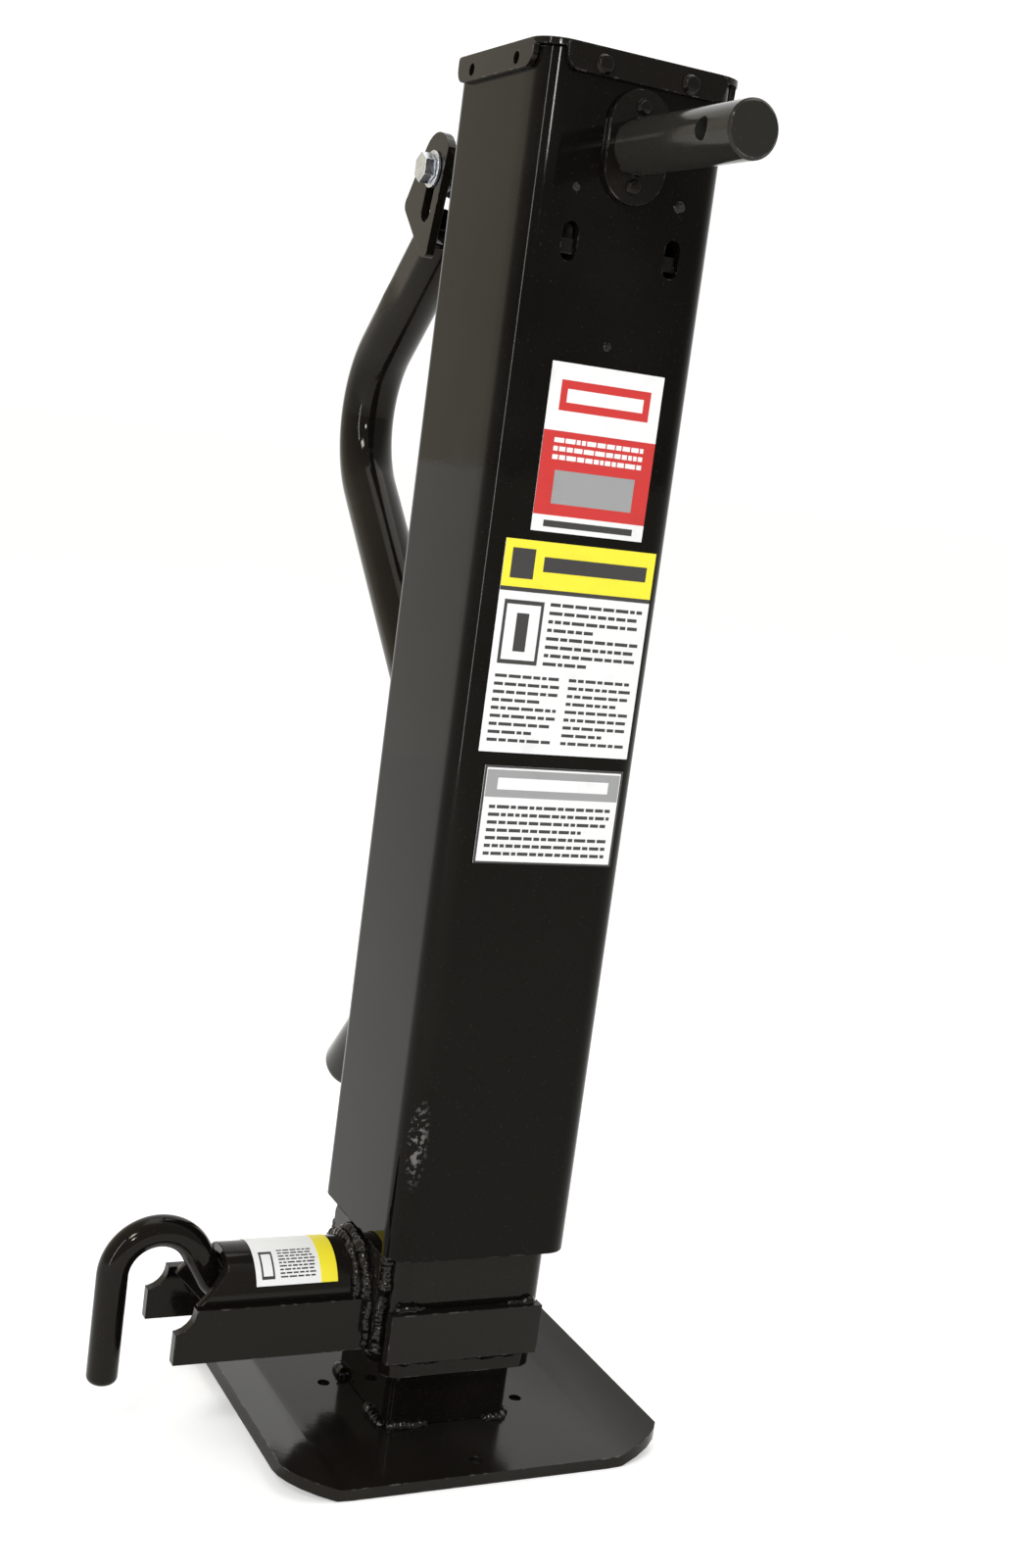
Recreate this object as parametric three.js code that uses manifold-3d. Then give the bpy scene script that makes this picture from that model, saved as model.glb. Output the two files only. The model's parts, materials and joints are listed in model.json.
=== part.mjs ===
// Side-wind, drop-leg trailer jack with a spring-return inner leg, a folding crank
// handle and a spring-loaded pull pin.
// Units are millimetres, +Z is up. The origin is the centre of the foot plate's underside.
// The front (labels, bare shaft end) faces -Y, the pull pin points to -X, the crank is at +Y.
// The jack is modelled retracted and standing, with the crank handle hanging down.

import * as THREE from 'three';
import { mergeVertices } from 'three/addons/utils/BufferGeometryUtils.js';
import Module from 'manifold-3d';

const wasm = await Module();
wasm.setup();

// ---------------------------------------------------------------- driving dimensions

const GAP = 0.3;                 // clearance between pieces that touch on the real jack

const HOUSING_HALF = 50.8;       // 4 in square outer tube
const HOUSING_WALL = 6.35;
const HOUSING_CORNER = 12.7;
const HOUSING_BOTTOM = 105;
const CAP_TOP = 694;
const CAP_SHEET = 3;

const RAM_HALF = 42.85;          // 3-3/8 in square inner ram
const RAM_WALL = 6.35;
const RAM_CORNER = 9.5;
const RAM_BOTTOM = 38;
const RAM_TOP = 580;

const LEG_HALF = 35;             // 2-3/4 in square drop leg
const LEG_WALL = 4.8;
const LEG_CORNER = 6;
const LEG_TOP = 468;
const LEG_HOLE_PITCH = 66.04;
const LEG_HOLES = 6;

const FOOT_THICK = 6;
const FOOT_FLAT_HALF = 79;       // flat part of the foot, before the lips bend up
const FOOT_LIP_RUN = 28;
const FOOT_LIP_RISE = 9;
const FOOT_HALF_DEPTH = 87;
const FOOT_CORNER_X = 36;        // the corners are quarter ellipses
const FOOT_CORNER_Y = 21;
const FOOT_CORNER_STEPS = 6;

const SHAFT_R = 12.7;            // 1 in cross shaft
const SHAFT_Z = 654;
const SHAFT_FRONT = -154;
const SHAFT_REAR = 156;
const SHAFT_SEGMENTS = 36;
const BOLT_Y = 144;              // crank bolt, through the shaft's rear end

const PIN_Z = 75;                // axis of the pull pin
const PIN_TUBE_R = 22.5;
const PIN_TUBE_BORE = 17.5;
const PIN_R = 11;
const PIN_NOSE_X = -36.2;
const PIN_SHOULDER_X = -70;
const PULL_ROD_R = 7.94;         // 5/8 in pull rod

const ARM_INNER = 22.8;          // flat arms on both sides of the pin tube
const ARM_THICK = 6;
const ARM_END_X = -150.5;
const ARM_BOTTOM = 48.5;
const ARM_TOP = 76.5;
const SEAT_X = -152;             // round seat that holds the pull rod when it is parked
const SEAT_R = 11.3;

const HANDLE_R = 15.88;          // 1-1/4 in crank tube
const HANDLE_BEND = 57.5;
const CLEVIS_INNER = 13.3;
const CLEVIS_THICK = 5;
const CLEVIS_SLOT_R = 6.3;

const APEX_Z = SHAFT_Z;          // the bevel gears' cones meet on the shaft's axis
const GEAR_TEETH = 24;
const PINION_TEETH = 16;
const GEAR_PITCH_R = 34;
const PINION_PITCH_R = GEAR_PITCH_R * PINION_TEETH / GEAR_TEETH;

const PLATE_BOTTOM = 602;        // bearing plate that carries the screw
const PLATE_TOP = 609;
const SLOT_Z = 607.6;            // slots in the housing that the plate's tabs sit in
const SLOT_X = 27.3;
const SLOT_R = 4;
const SLOT_HALF_STRAIGHT = 5;

const BEYOND = 60;               // cutting tools reach this far, well past every outer face

// ---------------------------------------------------------------- materials

function paintOf(color, roughness, metalness) {
  return () => new THREE.MeshStandardMaterial({ color, roughness, metalness });
}
const blackPaint = paintOf(0x14130f, 0.22, 0.1);
const zinc = paintOf(0xc8cbd0, 0.3, 1.0);
const darkSteel = paintOf(0x55534f, 0.45, 0.9);
const springSteel = paintOf(0x3a3a3c, 0.4, 0.9);
const bronze = paintOf(0x9c7640, 0.4, 0.9);
const labelStock = paintOf(0xe9e9e6, 0.5, 0.0);

// ---------------------------------------------------------------- geometry helpers

// Welds a geometry's vertices, drops zero triangles and turns its faces outward.
function welded(source) {
  const bare = source.clone();
  bare.deleteAttribute('normal');
  bare.deleteAttribute('uv');
  const merged = mergeVertices(bare, 1e-4);
  const from = merged.index.array;
  const at = (i) => new THREE.Vector3().fromBufferAttribute(merged.attributes.position, i);
  const kept = [];
  let volume = 0;
  for (let i = 0; i < from.length; i += 3) {
    const [a, b, c] = [from[i], from[i + 1], from[i + 2]];
    if (a === b || b === c || c === a) continue;
    kept.push(a, b, c);
    volume += at(a).dot(at(b).cross(at(c)));
  }
  merged.setIndex(volume < 0 ? kept.reverse() : kept);
  return merged;
}

function toSolid(geometry) {
  const closed = welded(geometry);
  return new wasm.Manifold(new wasm.Mesh({
    numProp: 3,
    vertProperties: new Float32Array(closed.attributes.position.array),
    triVerts: new Uint32Array(closed.index.array),
  }));
}

function toGeometry(solid) {
  const mesh = solid.getMesh();
  const geometry = new THREE.BufferGeometry();
  geometry.setAttribute('position', new THREE.BufferAttribute(mesh.vertProperties, 3));
  geometry.setIndex(new THREE.BufferAttribute(mesh.triVerts, 1));
  return geometry;
}

function cut(base, ...tools) {
  return toGeometry(tools.reduce((solid, tool) => solid.subtract(toSolid(tool)), toSolid(base)));
}

function join(base, ...others) {
  return toGeometry(others.reduce((solid, other) => solid.add(toSolid(other)), toSolid(base)));
}

function box(x0, x1, y0, y1, z0, z1) {
  return new THREE.BoxGeometry(x1 - x0, y1 - y0, z1 - z0)
    .translate((x0 + x1) / 2, (y0 + y1) / 2, (z0 + z1) / 2);
}

function extrude(shape, depth, curveSegments) {
  return new THREE.ExtrudeGeometry(shape, { depth, bevelEnabled: false, curveSegments });
}

// A flat (x, y) shape swept from z0 to z1.
function sweptZ(shape, z0, z1, curveSegments = 3) {
  return extrude(shape, z1 - z0, curveSegments).translate(0, 0, z0);
}

// A flat (x, z) shape swept from y0 to y1.
function sweptY(shape, y0, y1, curveSegments = 4) {
  return extrude(shape, y1 - y0, curveSegments).rotateX(Math.PI / 2).translate(0, y1, 0);
}

// A flat (y, z) shape swept from x0 to x1.
function sweptX(shape, x0, x1, curveSegments = 3) {
  const turn = new THREE.Matrix4().makeBasis(
    new THREE.Vector3(0, 1, 0), new THREE.Vector3(0, 0, 1), new THREE.Vector3(1, 0, 0));
  return extrude(shape, x1 - x0, curveSegments).applyMatrix4(turn).translate(x0, 0, 0);
}

// A turned solid: profile points are [radius, distance along the axis].
function turned(axis, profile, segments = 20, centre = [0, 0, 0]) {
  const points = profile.map(([r, s]) => new THREE.Vector2(r, s));
  const geometry = new THREE.LatheGeometry(points, segments);
  if (axis === 'x') geometry.rotateZ(-Math.PI / 2);
  if (axis === 'z') geometry.rotateX(Math.PI / 2);
  return geometry.translate(...centre);
}

function cylinder(axis, radius, from, to, centre = [0, 0, 0], segments = 20) {
  return turned(axis, [[0, from], [radius, from], [radius, to], [0, to]], segments, centre);
}

function ring(axis, inner, outer, from, to, centre = [0, 0, 0], segments = 24) {
  const profile = [[inner, from], [outer, from], [outer, to], [inner, to], [inner, from]];
  return turned(axis, profile, segments, centre);
}

function roundedRectangle(halfX, halfY, radius, shape = new THREE.Shape()) {
  const corners = [[1, 1, 0], [-1, 1, 1], [-1, -1, 2], [1, -1, 3]];
  for (const [sx, sy, quarter] of corners) {
    const start = quarter * Math.PI / 2;
    shape.absarc(sx * (halfX - radius), sy * (halfY - radius), radius, start, start + Math.PI / 2);
  }
  shape.closePath();
  return shape;
}

function squareTube(half, wall, corner, z0, z1) {
  const shape = roundedRectangle(half, half, corner);
  const inner = Math.max(corner - wall, 3);
  shape.holes.push(roundedRectangle(half - wall, half - wall, inner, new THREE.Path()));
  return sweptZ(shape, z0, z1);
}

function polygon(points) {
  return new THREE.Shape(points.map(([u, v]) => new THREE.Vector2(u, v)));
}

function obround(centreU, centreV, radius, halfStraight) {
  const shape = new THREE.Shape();
  shape.absarc(centreU, centreV + halfStraight, radius, 0, Math.PI);
  shape.absarc(centreU, centreV - halfStraight, radius, Math.PI, 2 * Math.PI);
  shape.closePath();
  return shape;
}

// Points of a bent centre line: straight runs between corners, rounded to one radius.
function bentLine(corners, radius, stepsPerBend) {
  const points = [corners[0].clone()];
  for (let i = 1; i < corners.length - 1; i++) {
    const into = corners[i].clone().sub(corners[i - 1]).normalize();
    const out = corners[i + 1].clone().sub(corners[i]).normalize();
    const turn = into.angleTo(out);
    const tangent = radius * Math.tan(turn / 2);
    const towardCentre = out.clone().sub(into).normalize();
    const centre = corners[i].clone().addScaledVector(towardCentre, radius / Math.cos(turn / 2));
    const start = corners[i].clone().addScaledVector(into, -tangent).sub(centre);
    const axis = into.clone().cross(out).normalize();
    for (let k = 0; k <= stepsPerBend; k++) {
      points.push(start.clone().applyAxisAngle(axis, turn * k / stepsPerBend).add(centre));
    }
  }
  points.push(corners.at(-1).clone());
  return points;
}

// A curve through given points, so that an extrusion puts one section at each of them.
class PointLine extends THREE.Curve {
  constructor(points) {
    super();
    this.points = points;
    this.last = points.length - 1;
  }

  getPointAt(share) {
    return this.points[Math.round(share * this.last)].clone();
  }

  getTangentAt(share) {
    const i = Math.round(share * this.last);
    const before = this.points[Math.max(i - 1, 0)];
    const after = this.points[Math.min(i + 1, this.last)];
    return after.clone().sub(before).normalize();
  }
}

// A round bar or tube blank that follows a list of points without twisting.
function barAlong(points, radius, sides) {
  const section = new THREE.Shape().absarc(0, 0, radius, 0, 2 * Math.PI);
  return new THREE.ExtrudeGeometry(section, {
    extrudePath: new PointLine(points),
    steps: points.length - 1,
    curveSegments: sides,
    bevelEnabled: false,
  });
}

const group = new THREE.Group();

function piece(name, geometry, material) {
  const closed = welded(geometry);
  closed.computeVertexNormals();
  const mesh = new THREE.Mesh(closed, material());
  mesh.name = name;
  group.add(mesh);
}

const SIDES = [['front', -1], ['rear', 1]];

// ---------------------------------------------------------------- housing and cap

const CAP_RIVET_X = 22.9;
const CAP_RIVET_Z = 686.5;
const CAP_HOLE_Y = 25;           // spare rivet holes in the cap's left and right flanges
const CAP_HOLE_R = 3;
const CAP_CORNER = 15;
const CAP_FLANGE_BOTTOM = 681.5;
const CAP_FLANGE_HALF = 42;
const CAP_FLANGE_CORNER = 7;
const CAP_INNER = HOUSING_HALF + GAP;
const CAP_HALF = CAP_INNER + CAP_SHEET;
const RIVET_HOLE_R = 2.5;
const BUSHING_R = 14;
const BUSHING_RIVET_DZ = 18;
const BUSHING_RIVET_HOLE = 2.2;

function throughX(radius, y, z) {
  return cylinder('x', radius, -BEYOND, BEYOND, [0, y, z], 12);
}

function throughY(radius, x, z) {
  return cylinder('y', radius, -BEYOND, BEYOND, [x, 0, z], 12);
}

function makeHousingTube() {
  const blank = squareTube(HOUSING_HALF, HOUSING_WALL, HOUSING_CORNER,
    HOUSING_BOTTOM, CAP_TOP - CAP_SHEET - GAP);
  const holes = [cylinder('y', BUSHING_R + GAP, -BEYOND, BEYOND, [0, 0, SHAFT_Z], 24)];
  for (const side of [-1, 1]) {
    const slot = obround(side * SLOT_X, SLOT_Z, SLOT_R, SLOT_HALF_STRAIGHT);
    holes.push(throughY(RIVET_HOLE_R, side * CAP_RIVET_X, CAP_RIVET_Z));
    holes.push(throughY(BUSHING_RIVET_HOLE, 0, SHAFT_Z + side * BUSHING_RIVET_DZ));
    holes.push(throughX(CAP_HOLE_R, side * CAP_HOLE_Y, CAP_RIVET_Z));
    holes.push(sweptY(slot, -BEYOND, BEYOND));
  }
  return cut(blank, ...holes);
}

function makeTopCap() {
  const outline = roundedRectangle(CAP_HALF, CAP_HALF, CAP_CORNER);
  const plate = sweptZ(outline, CAP_TOP - CAP_SHEET, CAP_TOP);
  const flange = new THREE.Shape();
  const corner = CAP_FLANGE_CORNER;
  const [arcX, arcZ] = [CAP_FLANGE_HALF - corner, CAP_FLANGE_BOTTOM + corner];
  const flangeTop = CAP_TOP - CAP_SHEET / 3;
  flange.moveTo(CAP_FLANGE_HALF, flangeTop);
  flange.lineTo(-CAP_FLANGE_HALF, flangeTop);
  flange.absarc(-arcX, arcZ, corner, Math.PI, 1.5 * Math.PI);
  flange.absarc(arcX, arcZ, corner, 1.5 * Math.PI, 2 * Math.PI);
  flange.closePath();
  const flanges = [sweptY(flange, CAP_INNER, CAP_HALF), sweptY(flange, -CAP_HALF, -CAP_INNER),
    sweptX(flange, CAP_INNER, CAP_HALF), sweptX(flange, -CAP_HALF, -CAP_INNER)];
  const holes = [];
  for (const side of [-1, 1]) {
    holes.push(throughY(RIVET_HOLE_R, side * CAP_RIVET_X, CAP_RIVET_Z));
    holes.push(throughX(CAP_HOLE_R, side * CAP_HOLE_Y, CAP_RIVET_Z));
  }
  return cut(join(plate, ...flanges), ...holes);
}

const WALL_INSIDE = HOUSING_HALF - HOUSING_WALL - GAP;
const RIVET_HEAD_HIGH = 2.5;
const RIVET_TAIL_HIGH = 1.8;
const RIVET_TAIL_SPREAD = 1.5;   // how much wider than the shank the tail is

// A rivet through the wall: domed head outside, upset tail inside.
function makeRivet(side, x, z, seat, shankR, headR) {
  const [tailR, tailEnd] = [shankR + RIVET_TAIL_SPREAD, WALL_INSIDE - RIVET_TAIL_HIGH];
  const profile = [[0, tailEnd], [tailR, tailEnd], [tailR, WALL_INSIDE], [shankR, WALL_INSIDE],
    [shankR, seat], [headR, seat], [headR * 0.72, seat + RIVET_HEAD_HIGH * 0.76],
    [0, seat + RIVET_HEAD_HIGH]];
  return turned('y', profile.map(([r, s]) => [r, side * s]), 12, [x, 0, z]);
}

piece('housing_tube', makeHousingTube(), blackPaint);
piece('top_cap', makeTopCap(), blackPaint);
for (const [face, side] of SIDES) {
  for (const [end, x] of [['left', -CAP_RIVET_X], ['right', CAP_RIVET_X]]) {
    piece(`cap_rivet_${face}_${end}`,
      makeRivet(side, x, CAP_RIVET_Z, CAP_HALF + GAP, RIVET_HOLE_R - GAP, 5), blackPaint);
  }
}

// ---------------------------------------------------------------- shaft bushings

const FLANGE_IN = HOUSING_HALF + GAP;
const FLANGE_OUT = FLANGE_IN + 3;
const FLANGE_R = 16;
const FLANGE_HALF_STRAIGHT = 10;
const SLEEVE_IN = 42;
const BORE_PLAY = 0.08;

function makeBushing(side) {
  const [near, far] = side > 0 ? [FLANGE_IN, FLANGE_OUT] : [-FLANGE_OUT, -FLANGE_IN];
  const flange = sweptY(obround(0, SHAFT_Z, FLANGE_R, FLANGE_HALF_STRAIGHT), near, far, 6);
  const sleeve = cylinder('y', BUSHING_R, side * SLEEVE_IN, side * (FLANGE_IN + 1), [0, 0, SHAFT_Z], 24);
  const boreR = (SHAFT_R + BORE_PLAY) / Math.cos(Math.PI / SHAFT_SEGMENTS);
  const bore = cylinder('y', boreR, -BEYOND, BEYOND, [0, 0, SHAFT_Z], SHAFT_SEGMENTS);
  const rivets = [-1, 1].map((s) => throughY(BUSHING_RIVET_HOLE, 0, SHAFT_Z + s * BUSHING_RIVET_DZ));
  return cut(join(flange, sleeve), bore, ...rivets);
}

for (const [face, side] of SIDES) {
  piece(`${face}_bushing`, makeBushing(side), blackPaint);
  for (const [place, s] of [['upper', 1], ['lower', -1]]) {
    const z = SHAFT_Z + s * BUSHING_RIVET_DZ;
    piece(`${face}_bushing_rivet_${place}`,
      makeRivet(side, 0, z, FLANGE_OUT + GAP, BUSHING_RIVET_HOLE - GAP, 4), blackPaint);
  }
}

// ---------------------------------------------------------------- bearing plate and screw

const TAB_HALF = 3.6;
const TAB_REACH = 48;            // the tabs end inside the wall, behind its outer face
const PLATE_CORNER = 6.35;
const JOURNAL_R = 9.5;
const RACE_R = 20;
const RACE_THICK = 2.5;
const CAGE_R = 19;
const CAGE_THICK = 2.6;
const SCREW_R = 12;
const SCREW_CHAMFER = 2;
const SCREW_BOTTOM = 235;
const SCREW_TOP = 637;
const COLLAR_R = 19;
const COLLAR_THICK = 8;
const GEAR_PIN_Z = 620;
const GEAR_PIN_R = 2.5;
const GEAR_HUB_R = 25;

// The thrust bearing hangs under the plate: upper race, ball cage, lower race, screw collar.
const UPPER_RACE_TOP = PLATE_BOTTOM - GAP;
const CAGE_TOP = UPPER_RACE_TOP - RACE_THICK - GAP;
const LOWER_RACE_TOP = CAGE_TOP - CAGE_THICK - GAP;
const COLLAR_TOP = LOWER_RACE_TOP - RACE_THICK - GAP;
const COLLAR_BOTTOM = COLLAR_TOP - COLLAR_THICK;

function makeBearingPlate() {
  const outline = roundedRectangle(WALL_INSIDE, WALL_INSIDE, PLATE_CORNER);
  const plate = sweptZ(outline, PLATE_BOTTOM, PLATE_TOP);
  const tabs = [-SLOT_X, SLOT_X].map((x) => box(
    x - TAB_HALF, x + TAB_HALF, -TAB_REACH, TAB_REACH, PLATE_BOTTOM, PLATE_TOP));
  return cut(join(plate, ...tabs), cylinder('z', JOURNAL_R + GAP, PLATE_BOTTOM - 1, PLATE_TOP + 1));
}

function makeRace(top) {
  return ring('z', JOURNAL_R + GAP, RACE_R, top - RACE_THICK, top);
}

function makeLeadScrew() {
  const profile = [[0, SCREW_BOTTOM], [SCREW_R - SCREW_CHAMFER, SCREW_BOTTOM],
    [SCREW_R, SCREW_BOTTOM + SCREW_CHAMFER], [SCREW_R, COLLAR_BOTTOM], [COLLAR_R, COLLAR_BOTTOM],
    [COLLAR_R, COLLAR_TOP], [JOURNAL_R, COLLAR_TOP], [JOURNAL_R, SCREW_TOP], [0, SCREW_TOP]];
  return cut(turned('z', profile, 24), throughX(GEAR_PIN_R + GAP, 0, GEAR_PIN_Z));
}

piece('bearing_plate', makeBearingPlate(), blackPaint);
piece('thrust_race_upper', makeRace(UPPER_RACE_TOP), darkSteel);
piece('thrust_ball_cage', ring('z', JOURNAL_R + 1, CAGE_R, CAGE_TOP - CAGE_THICK, CAGE_TOP), bronze);
piece('thrust_race_lower', makeRace(LOWER_RACE_TOP), darkSteel);
piece('lead_screw', makeLeadScrew(), darkSteel);
piece('gear_pin', cylinder('x', GEAR_PIN_R, -GEAR_HUB_R, GEAR_HUB_R, [0, 0, GEAR_PIN_Z], 12), darkSteel);

// ---------------------------------------------------------------- bevel gears

const TOOTH_ABOVE = 2.6;         // tooth height outside and inside the pitch line
const TOOTH_BELOW = 3.2;
const TOOTH_LENGTH = 11;
const TOOTH_ROOT_SHARE = 0.27;   // half widths of a tooth, as shares of the pitch
const TOOTH_TIP_SHARE = 0.1;

// A toothed frustum whose teeth taper to the origin. Its large end lies at z = -distance.
function bevelTeeth(teeth, distance, pitchR, phase) {
  const coneDistance = Math.hypot(distance, pitchR);
  const pitchAngle = Math.atan2(pitchR, distance);
  const tipR = distance * Math.tan(pitchAngle + Math.atan(TOOTH_ABOVE / coneDistance));
  const rootR = distance * Math.tan(pitchAngle - Math.atan(TOOTH_BELOW / coneDistance));
  const pitch = 2 * Math.PI / teeth;
  const tooth = [[-TOOTH_ROOT_SHARE, rootR], [-TOOTH_TIP_SHARE, tipR],
    [TOOTH_TIP_SHARE, tipR], [TOOTH_ROOT_SHARE, rootR]];
  const outline = [];
  for (let i = 0; i < teeth; i++) {
    const centre = i * pitch + phase;
    for (const [share, r] of tooth) {
      const angle = centre + share * pitch;
      outline.push([r * Math.cos(angle), r * Math.sin(angle)]);
    }
  }
  const geometry = extrude(polygon(outline), 1, 1);
  const innerShare = 1 - TOOTH_LENGTH / coneDistance;
  const position = geometry.attributes.position;
  for (let i = 0; i < position.count; i++) {
    const share = 1 + (innerShare - 1) * position.getZ(i);
    position.setXYZ(i, position.getX(i) * share, position.getY(i) * share, -distance * share);
  }
  return geometry;
}

function makeBevelGear() {
  const crown = bevelTeeth(GEAR_TEETH, PINION_PITCH_R, GEAR_PITCH_R, 0).translate(0, 0, APEX_Z);
  const hub = cylinder('z', GEAR_HUB_R, PLATE_TOP + 0.5, APEX_Z - PINION_PITCH_R + 1, [0, 0, 0], 24);
  const bore = cylinder('z', JOURNAL_R + GAP, PLATE_TOP - 1, APEX_Z);
  return cut(join(crown, hub), bore, throughX(GEAR_PIN_R + GAP, 0, GEAR_PIN_Z));
}

const PINION_HUB_R = 19;
const PINION_PIN_Y = 38;
const COLLAR_Y = -38;            // pin of the shaft collar
const SHAFT_PIN_R = 2;
const SHAFT_PIN_HALF = PINION_HUB_R - 0.5;

function makeBevelPinion() {
  const phase = Math.PI / PINION_TEETH;
  const crown = bevelTeeth(PINION_TEETH, GEAR_PITCH_R, PINION_PITCH_R, phase).rotateX(Math.PI / 2);
  const hub = cylinder('y', PINION_HUB_R, GEAR_PITCH_R - 1, SLEEVE_IN - 0.5, [0, 0, 0], 24);
  const bore = cylinder('y', SHAFT_R + GAP, 0, BEYOND, [0, 0, 0], 24);
  const pinHole = throughX(SHAFT_PIN_R + GAP, PINION_PIN_Y, 0);
  return cut(join(crown, hub), bore, pinHole).translate(0, 0, SHAFT_Z);
}

function makeShaftPin(y) {
  return cylinder('x', SHAFT_PIN_R, -SHAFT_PIN_HALF, SHAFT_PIN_HALF, [0, y, SHAFT_Z], 12);
}

piece('bevel_gear', makeBevelGear(), darkSteel);
piece('bevel_pinion', makeBevelPinion(), darkSteel);
piece('pinion_pin', makeShaftPin(PINION_PIN_Y), darkSteel);

// ---------------------------------------------------------------- cross shaft and crank bolt

const FRONT_HOLE_Y = -131;
const CROSS_HOLE_R = 5.1;        // bolt holes at both ends of the shaft
const SHAFT_CHAMFER = 1.2;
const SHAFT_COLLAR_WIDE = 7.5;
const BOLT_R = 4.76;             // 3/8 in bolt with a 9/16 in hex
const BOLT_END = 33;
const HEAD_HIGH = 6.2;
const NUT_HIGH = 8;
const HEAD_FLATS_HALF = 7.14;
const WASHER_R = 10;
const WASHER_THICK = 1.6;
const CLEVIS_OUTER = CLEVIS_INNER + CLEVIS_THICK;
const WASHER_IN = CLEVIS_OUTER + GAP;
const WASHER_OUT = WASHER_IN + WASHER_THICK;

function makeCrossShaft() {
  const chamferR = SHAFT_R - SHAFT_CHAMFER;
  const profile = [[0, SHAFT_FRONT], [chamferR, SHAFT_FRONT], [SHAFT_R, SHAFT_FRONT + SHAFT_CHAMFER],
    [SHAFT_R, SHAFT_REAR - SHAFT_CHAMFER], [chamferR, SHAFT_REAR], [0, SHAFT_REAR]];
  const blank = turned('y', profile, SHAFT_SEGMENTS, [0, 0, SHAFT_Z]);
  const pinHoleR = SHAFT_PIN_R + GAP;
  const holes = [[FRONT_HOLE_Y, CROSS_HOLE_R], [BOLT_Y, CROSS_HOLE_R],
    [PINION_PIN_Y, pinHoleR], [COLLAR_Y, pinHoleR]];
  return cut(blank, ...holes.map(([y, r]) => cylinder('x', r, -20, 20, [0, y, SHAFT_Z], 16)));
}

function makeShaftCollar() {
  const near = -SLEEVE_IN + 0.5;
  const body = ring('y', SHAFT_R + GAP, PINION_HUB_R, near, near + SHAFT_COLLAR_WIDE, [0, 0, SHAFT_Z]);
  return cut(body, throughX(SHAFT_PIN_R + GAP, COLLAR_Y, SHAFT_Z));
}

function hexPrism(from, to) {
  const cornerR = HEAD_FLATS_HALF / Math.cos(Math.PI / 6);
  const corners = [0, 1, 2, 3, 4, 5].map((i) => {
    const angle = Math.PI / 6 + i * Math.PI / 3;
    return [BOLT_Y + cornerR * Math.cos(angle), SHAFT_Z + cornerR * Math.sin(angle)];
  });
  return sweptX(polygon(corners), from, to);
}

function makeBolt() {
  const seat = -WASHER_OUT - GAP;
  const head = hexPrism(seat - HEAD_HIGH, seat);
  const shank = cylinder('x', BOLT_R, seat - 1, BOLT_END, [0, BOLT_Y, SHAFT_Z], 16);
  return join(head, shank);
}

function makeNut() {
  const blank = hexPrism(WASHER_OUT + GAP, WASHER_OUT + GAP + NUT_HIGH);
  return cut(blank, cylinder('x', BOLT_R + GAP, 0, 40, [0, BOLT_Y, SHAFT_Z], 16));
}

piece('cross_shaft', makeCrossShaft(), blackPaint);
piece('shaft_collar', makeShaftCollar(), darkSteel);
piece('collar_pin', makeShaftPin(COLLAR_Y), darkSteel);
piece('crank_bolt', makeBolt(), zinc);
piece('crank_nut', makeNut(), zinc);
for (const [name, side] of [['left', -1], ['right', 1]]) {
  piece(`crank_washer_${name}`, ring('x', BOLT_R + GAP, WASHER_R, side * WASHER_IN,
    side * WASHER_OUT, [0, BOLT_Y, SHAFT_Z], 24), zinc);
}

// ---------------------------------------------------------------- crank handle

// Corners (y, z) of the tube's centre line, from the clevis to the grip.
const HANDLE_CORNERS = [[157.2, 625.7], [273.8, 517], [91, 350.4], [91, 204], [154, 135]];
const FLAT_LONG = 43;            // the tube is pressed flat this far from its upper end
const HOLLOW_R = 19;             // clears the shaft's end when the handle is lifted and swung
const SLOT_LEAN = 0.2;           // radians between the slot's long axis and the vertical
const SLOT_END = [5.3, -21.5];   // lower end of the slot, from the bolt

// Clevis plate: round at the bolt, an ear that stops the handle's swing, a nose on the tube.
function makeClevisPlate(x0, x1) {
  const outline = new THREE.Shape();
  outline.moveTo(-20.5, -6);
  outline.absarc(0, 1, 19, 2.6, 0.7, true);
  outline.lineTo(35, -13);
  outline.absarc(32, -17, 5, 0.8, -0.8, true);
  outline.lineTo(6, -46);
  outline.absarc(1.5, -42, 5, -0.8, -2.5, true);
  outline.closePath();
  const slot = new THREE.Path();
  slot.absarc(0, 0, CLEVIS_SLOT_R, -SLOT_LEAN, Math.PI - SLOT_LEAN);
  slot.absarc(...SLOT_END, CLEVIS_SLOT_R, Math.PI - SLOT_LEAN, 2 * Math.PI - SLOT_LEAN);
  slot.closePath();
  outline.holes.push(slot);
  return sweptX(outline, x0, x1, 4).translate(0, BOLT_Y, SHAFT_Z);
}

function makeHandleTube() {
  const corners = HANDLE_CORNERS.map(([y, z]) => new THREE.Vector3(0, y, z));
  const blank = barAlong(bentLine(corners, HANDLE_BEND, 7), HANDLE_R, 8);
  const flat = CLEVIS_INNER - GAP;
  const [topY, topZ] = HANDLE_CORNERS[0];
  const flats = [-BEYOND, flat].map((x) => box(
    x, x + BEYOND - flat, topY - BEYOND, topY + FLAT_LONG, topZ - FLAT_LONG, topZ + BEYOND));
  const [lowestY, lowestZ] = [BOLT_Y + SLOT_END[0], SHAFT_Z + SLOT_END[1]];
  const hollow = cylinder('x', HOLLOW_R, -BEYOND, BEYOND, [0, lowestY, lowestZ], 24);
  return cut(blank, ...flats, hollow);
}

piece('handle_tube', makeHandleTube(), blackPaint);
piece('clevis_plate_left', makeClevisPlate(-CLEVIS_OUTER, -CLEVIS_INNER), blackPaint);
piece('clevis_plate_right', makeClevisPlate(CLEVIS_INNER, CLEVIS_OUTER), blackPaint);

// ---------------------------------------------------------------- ram

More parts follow.
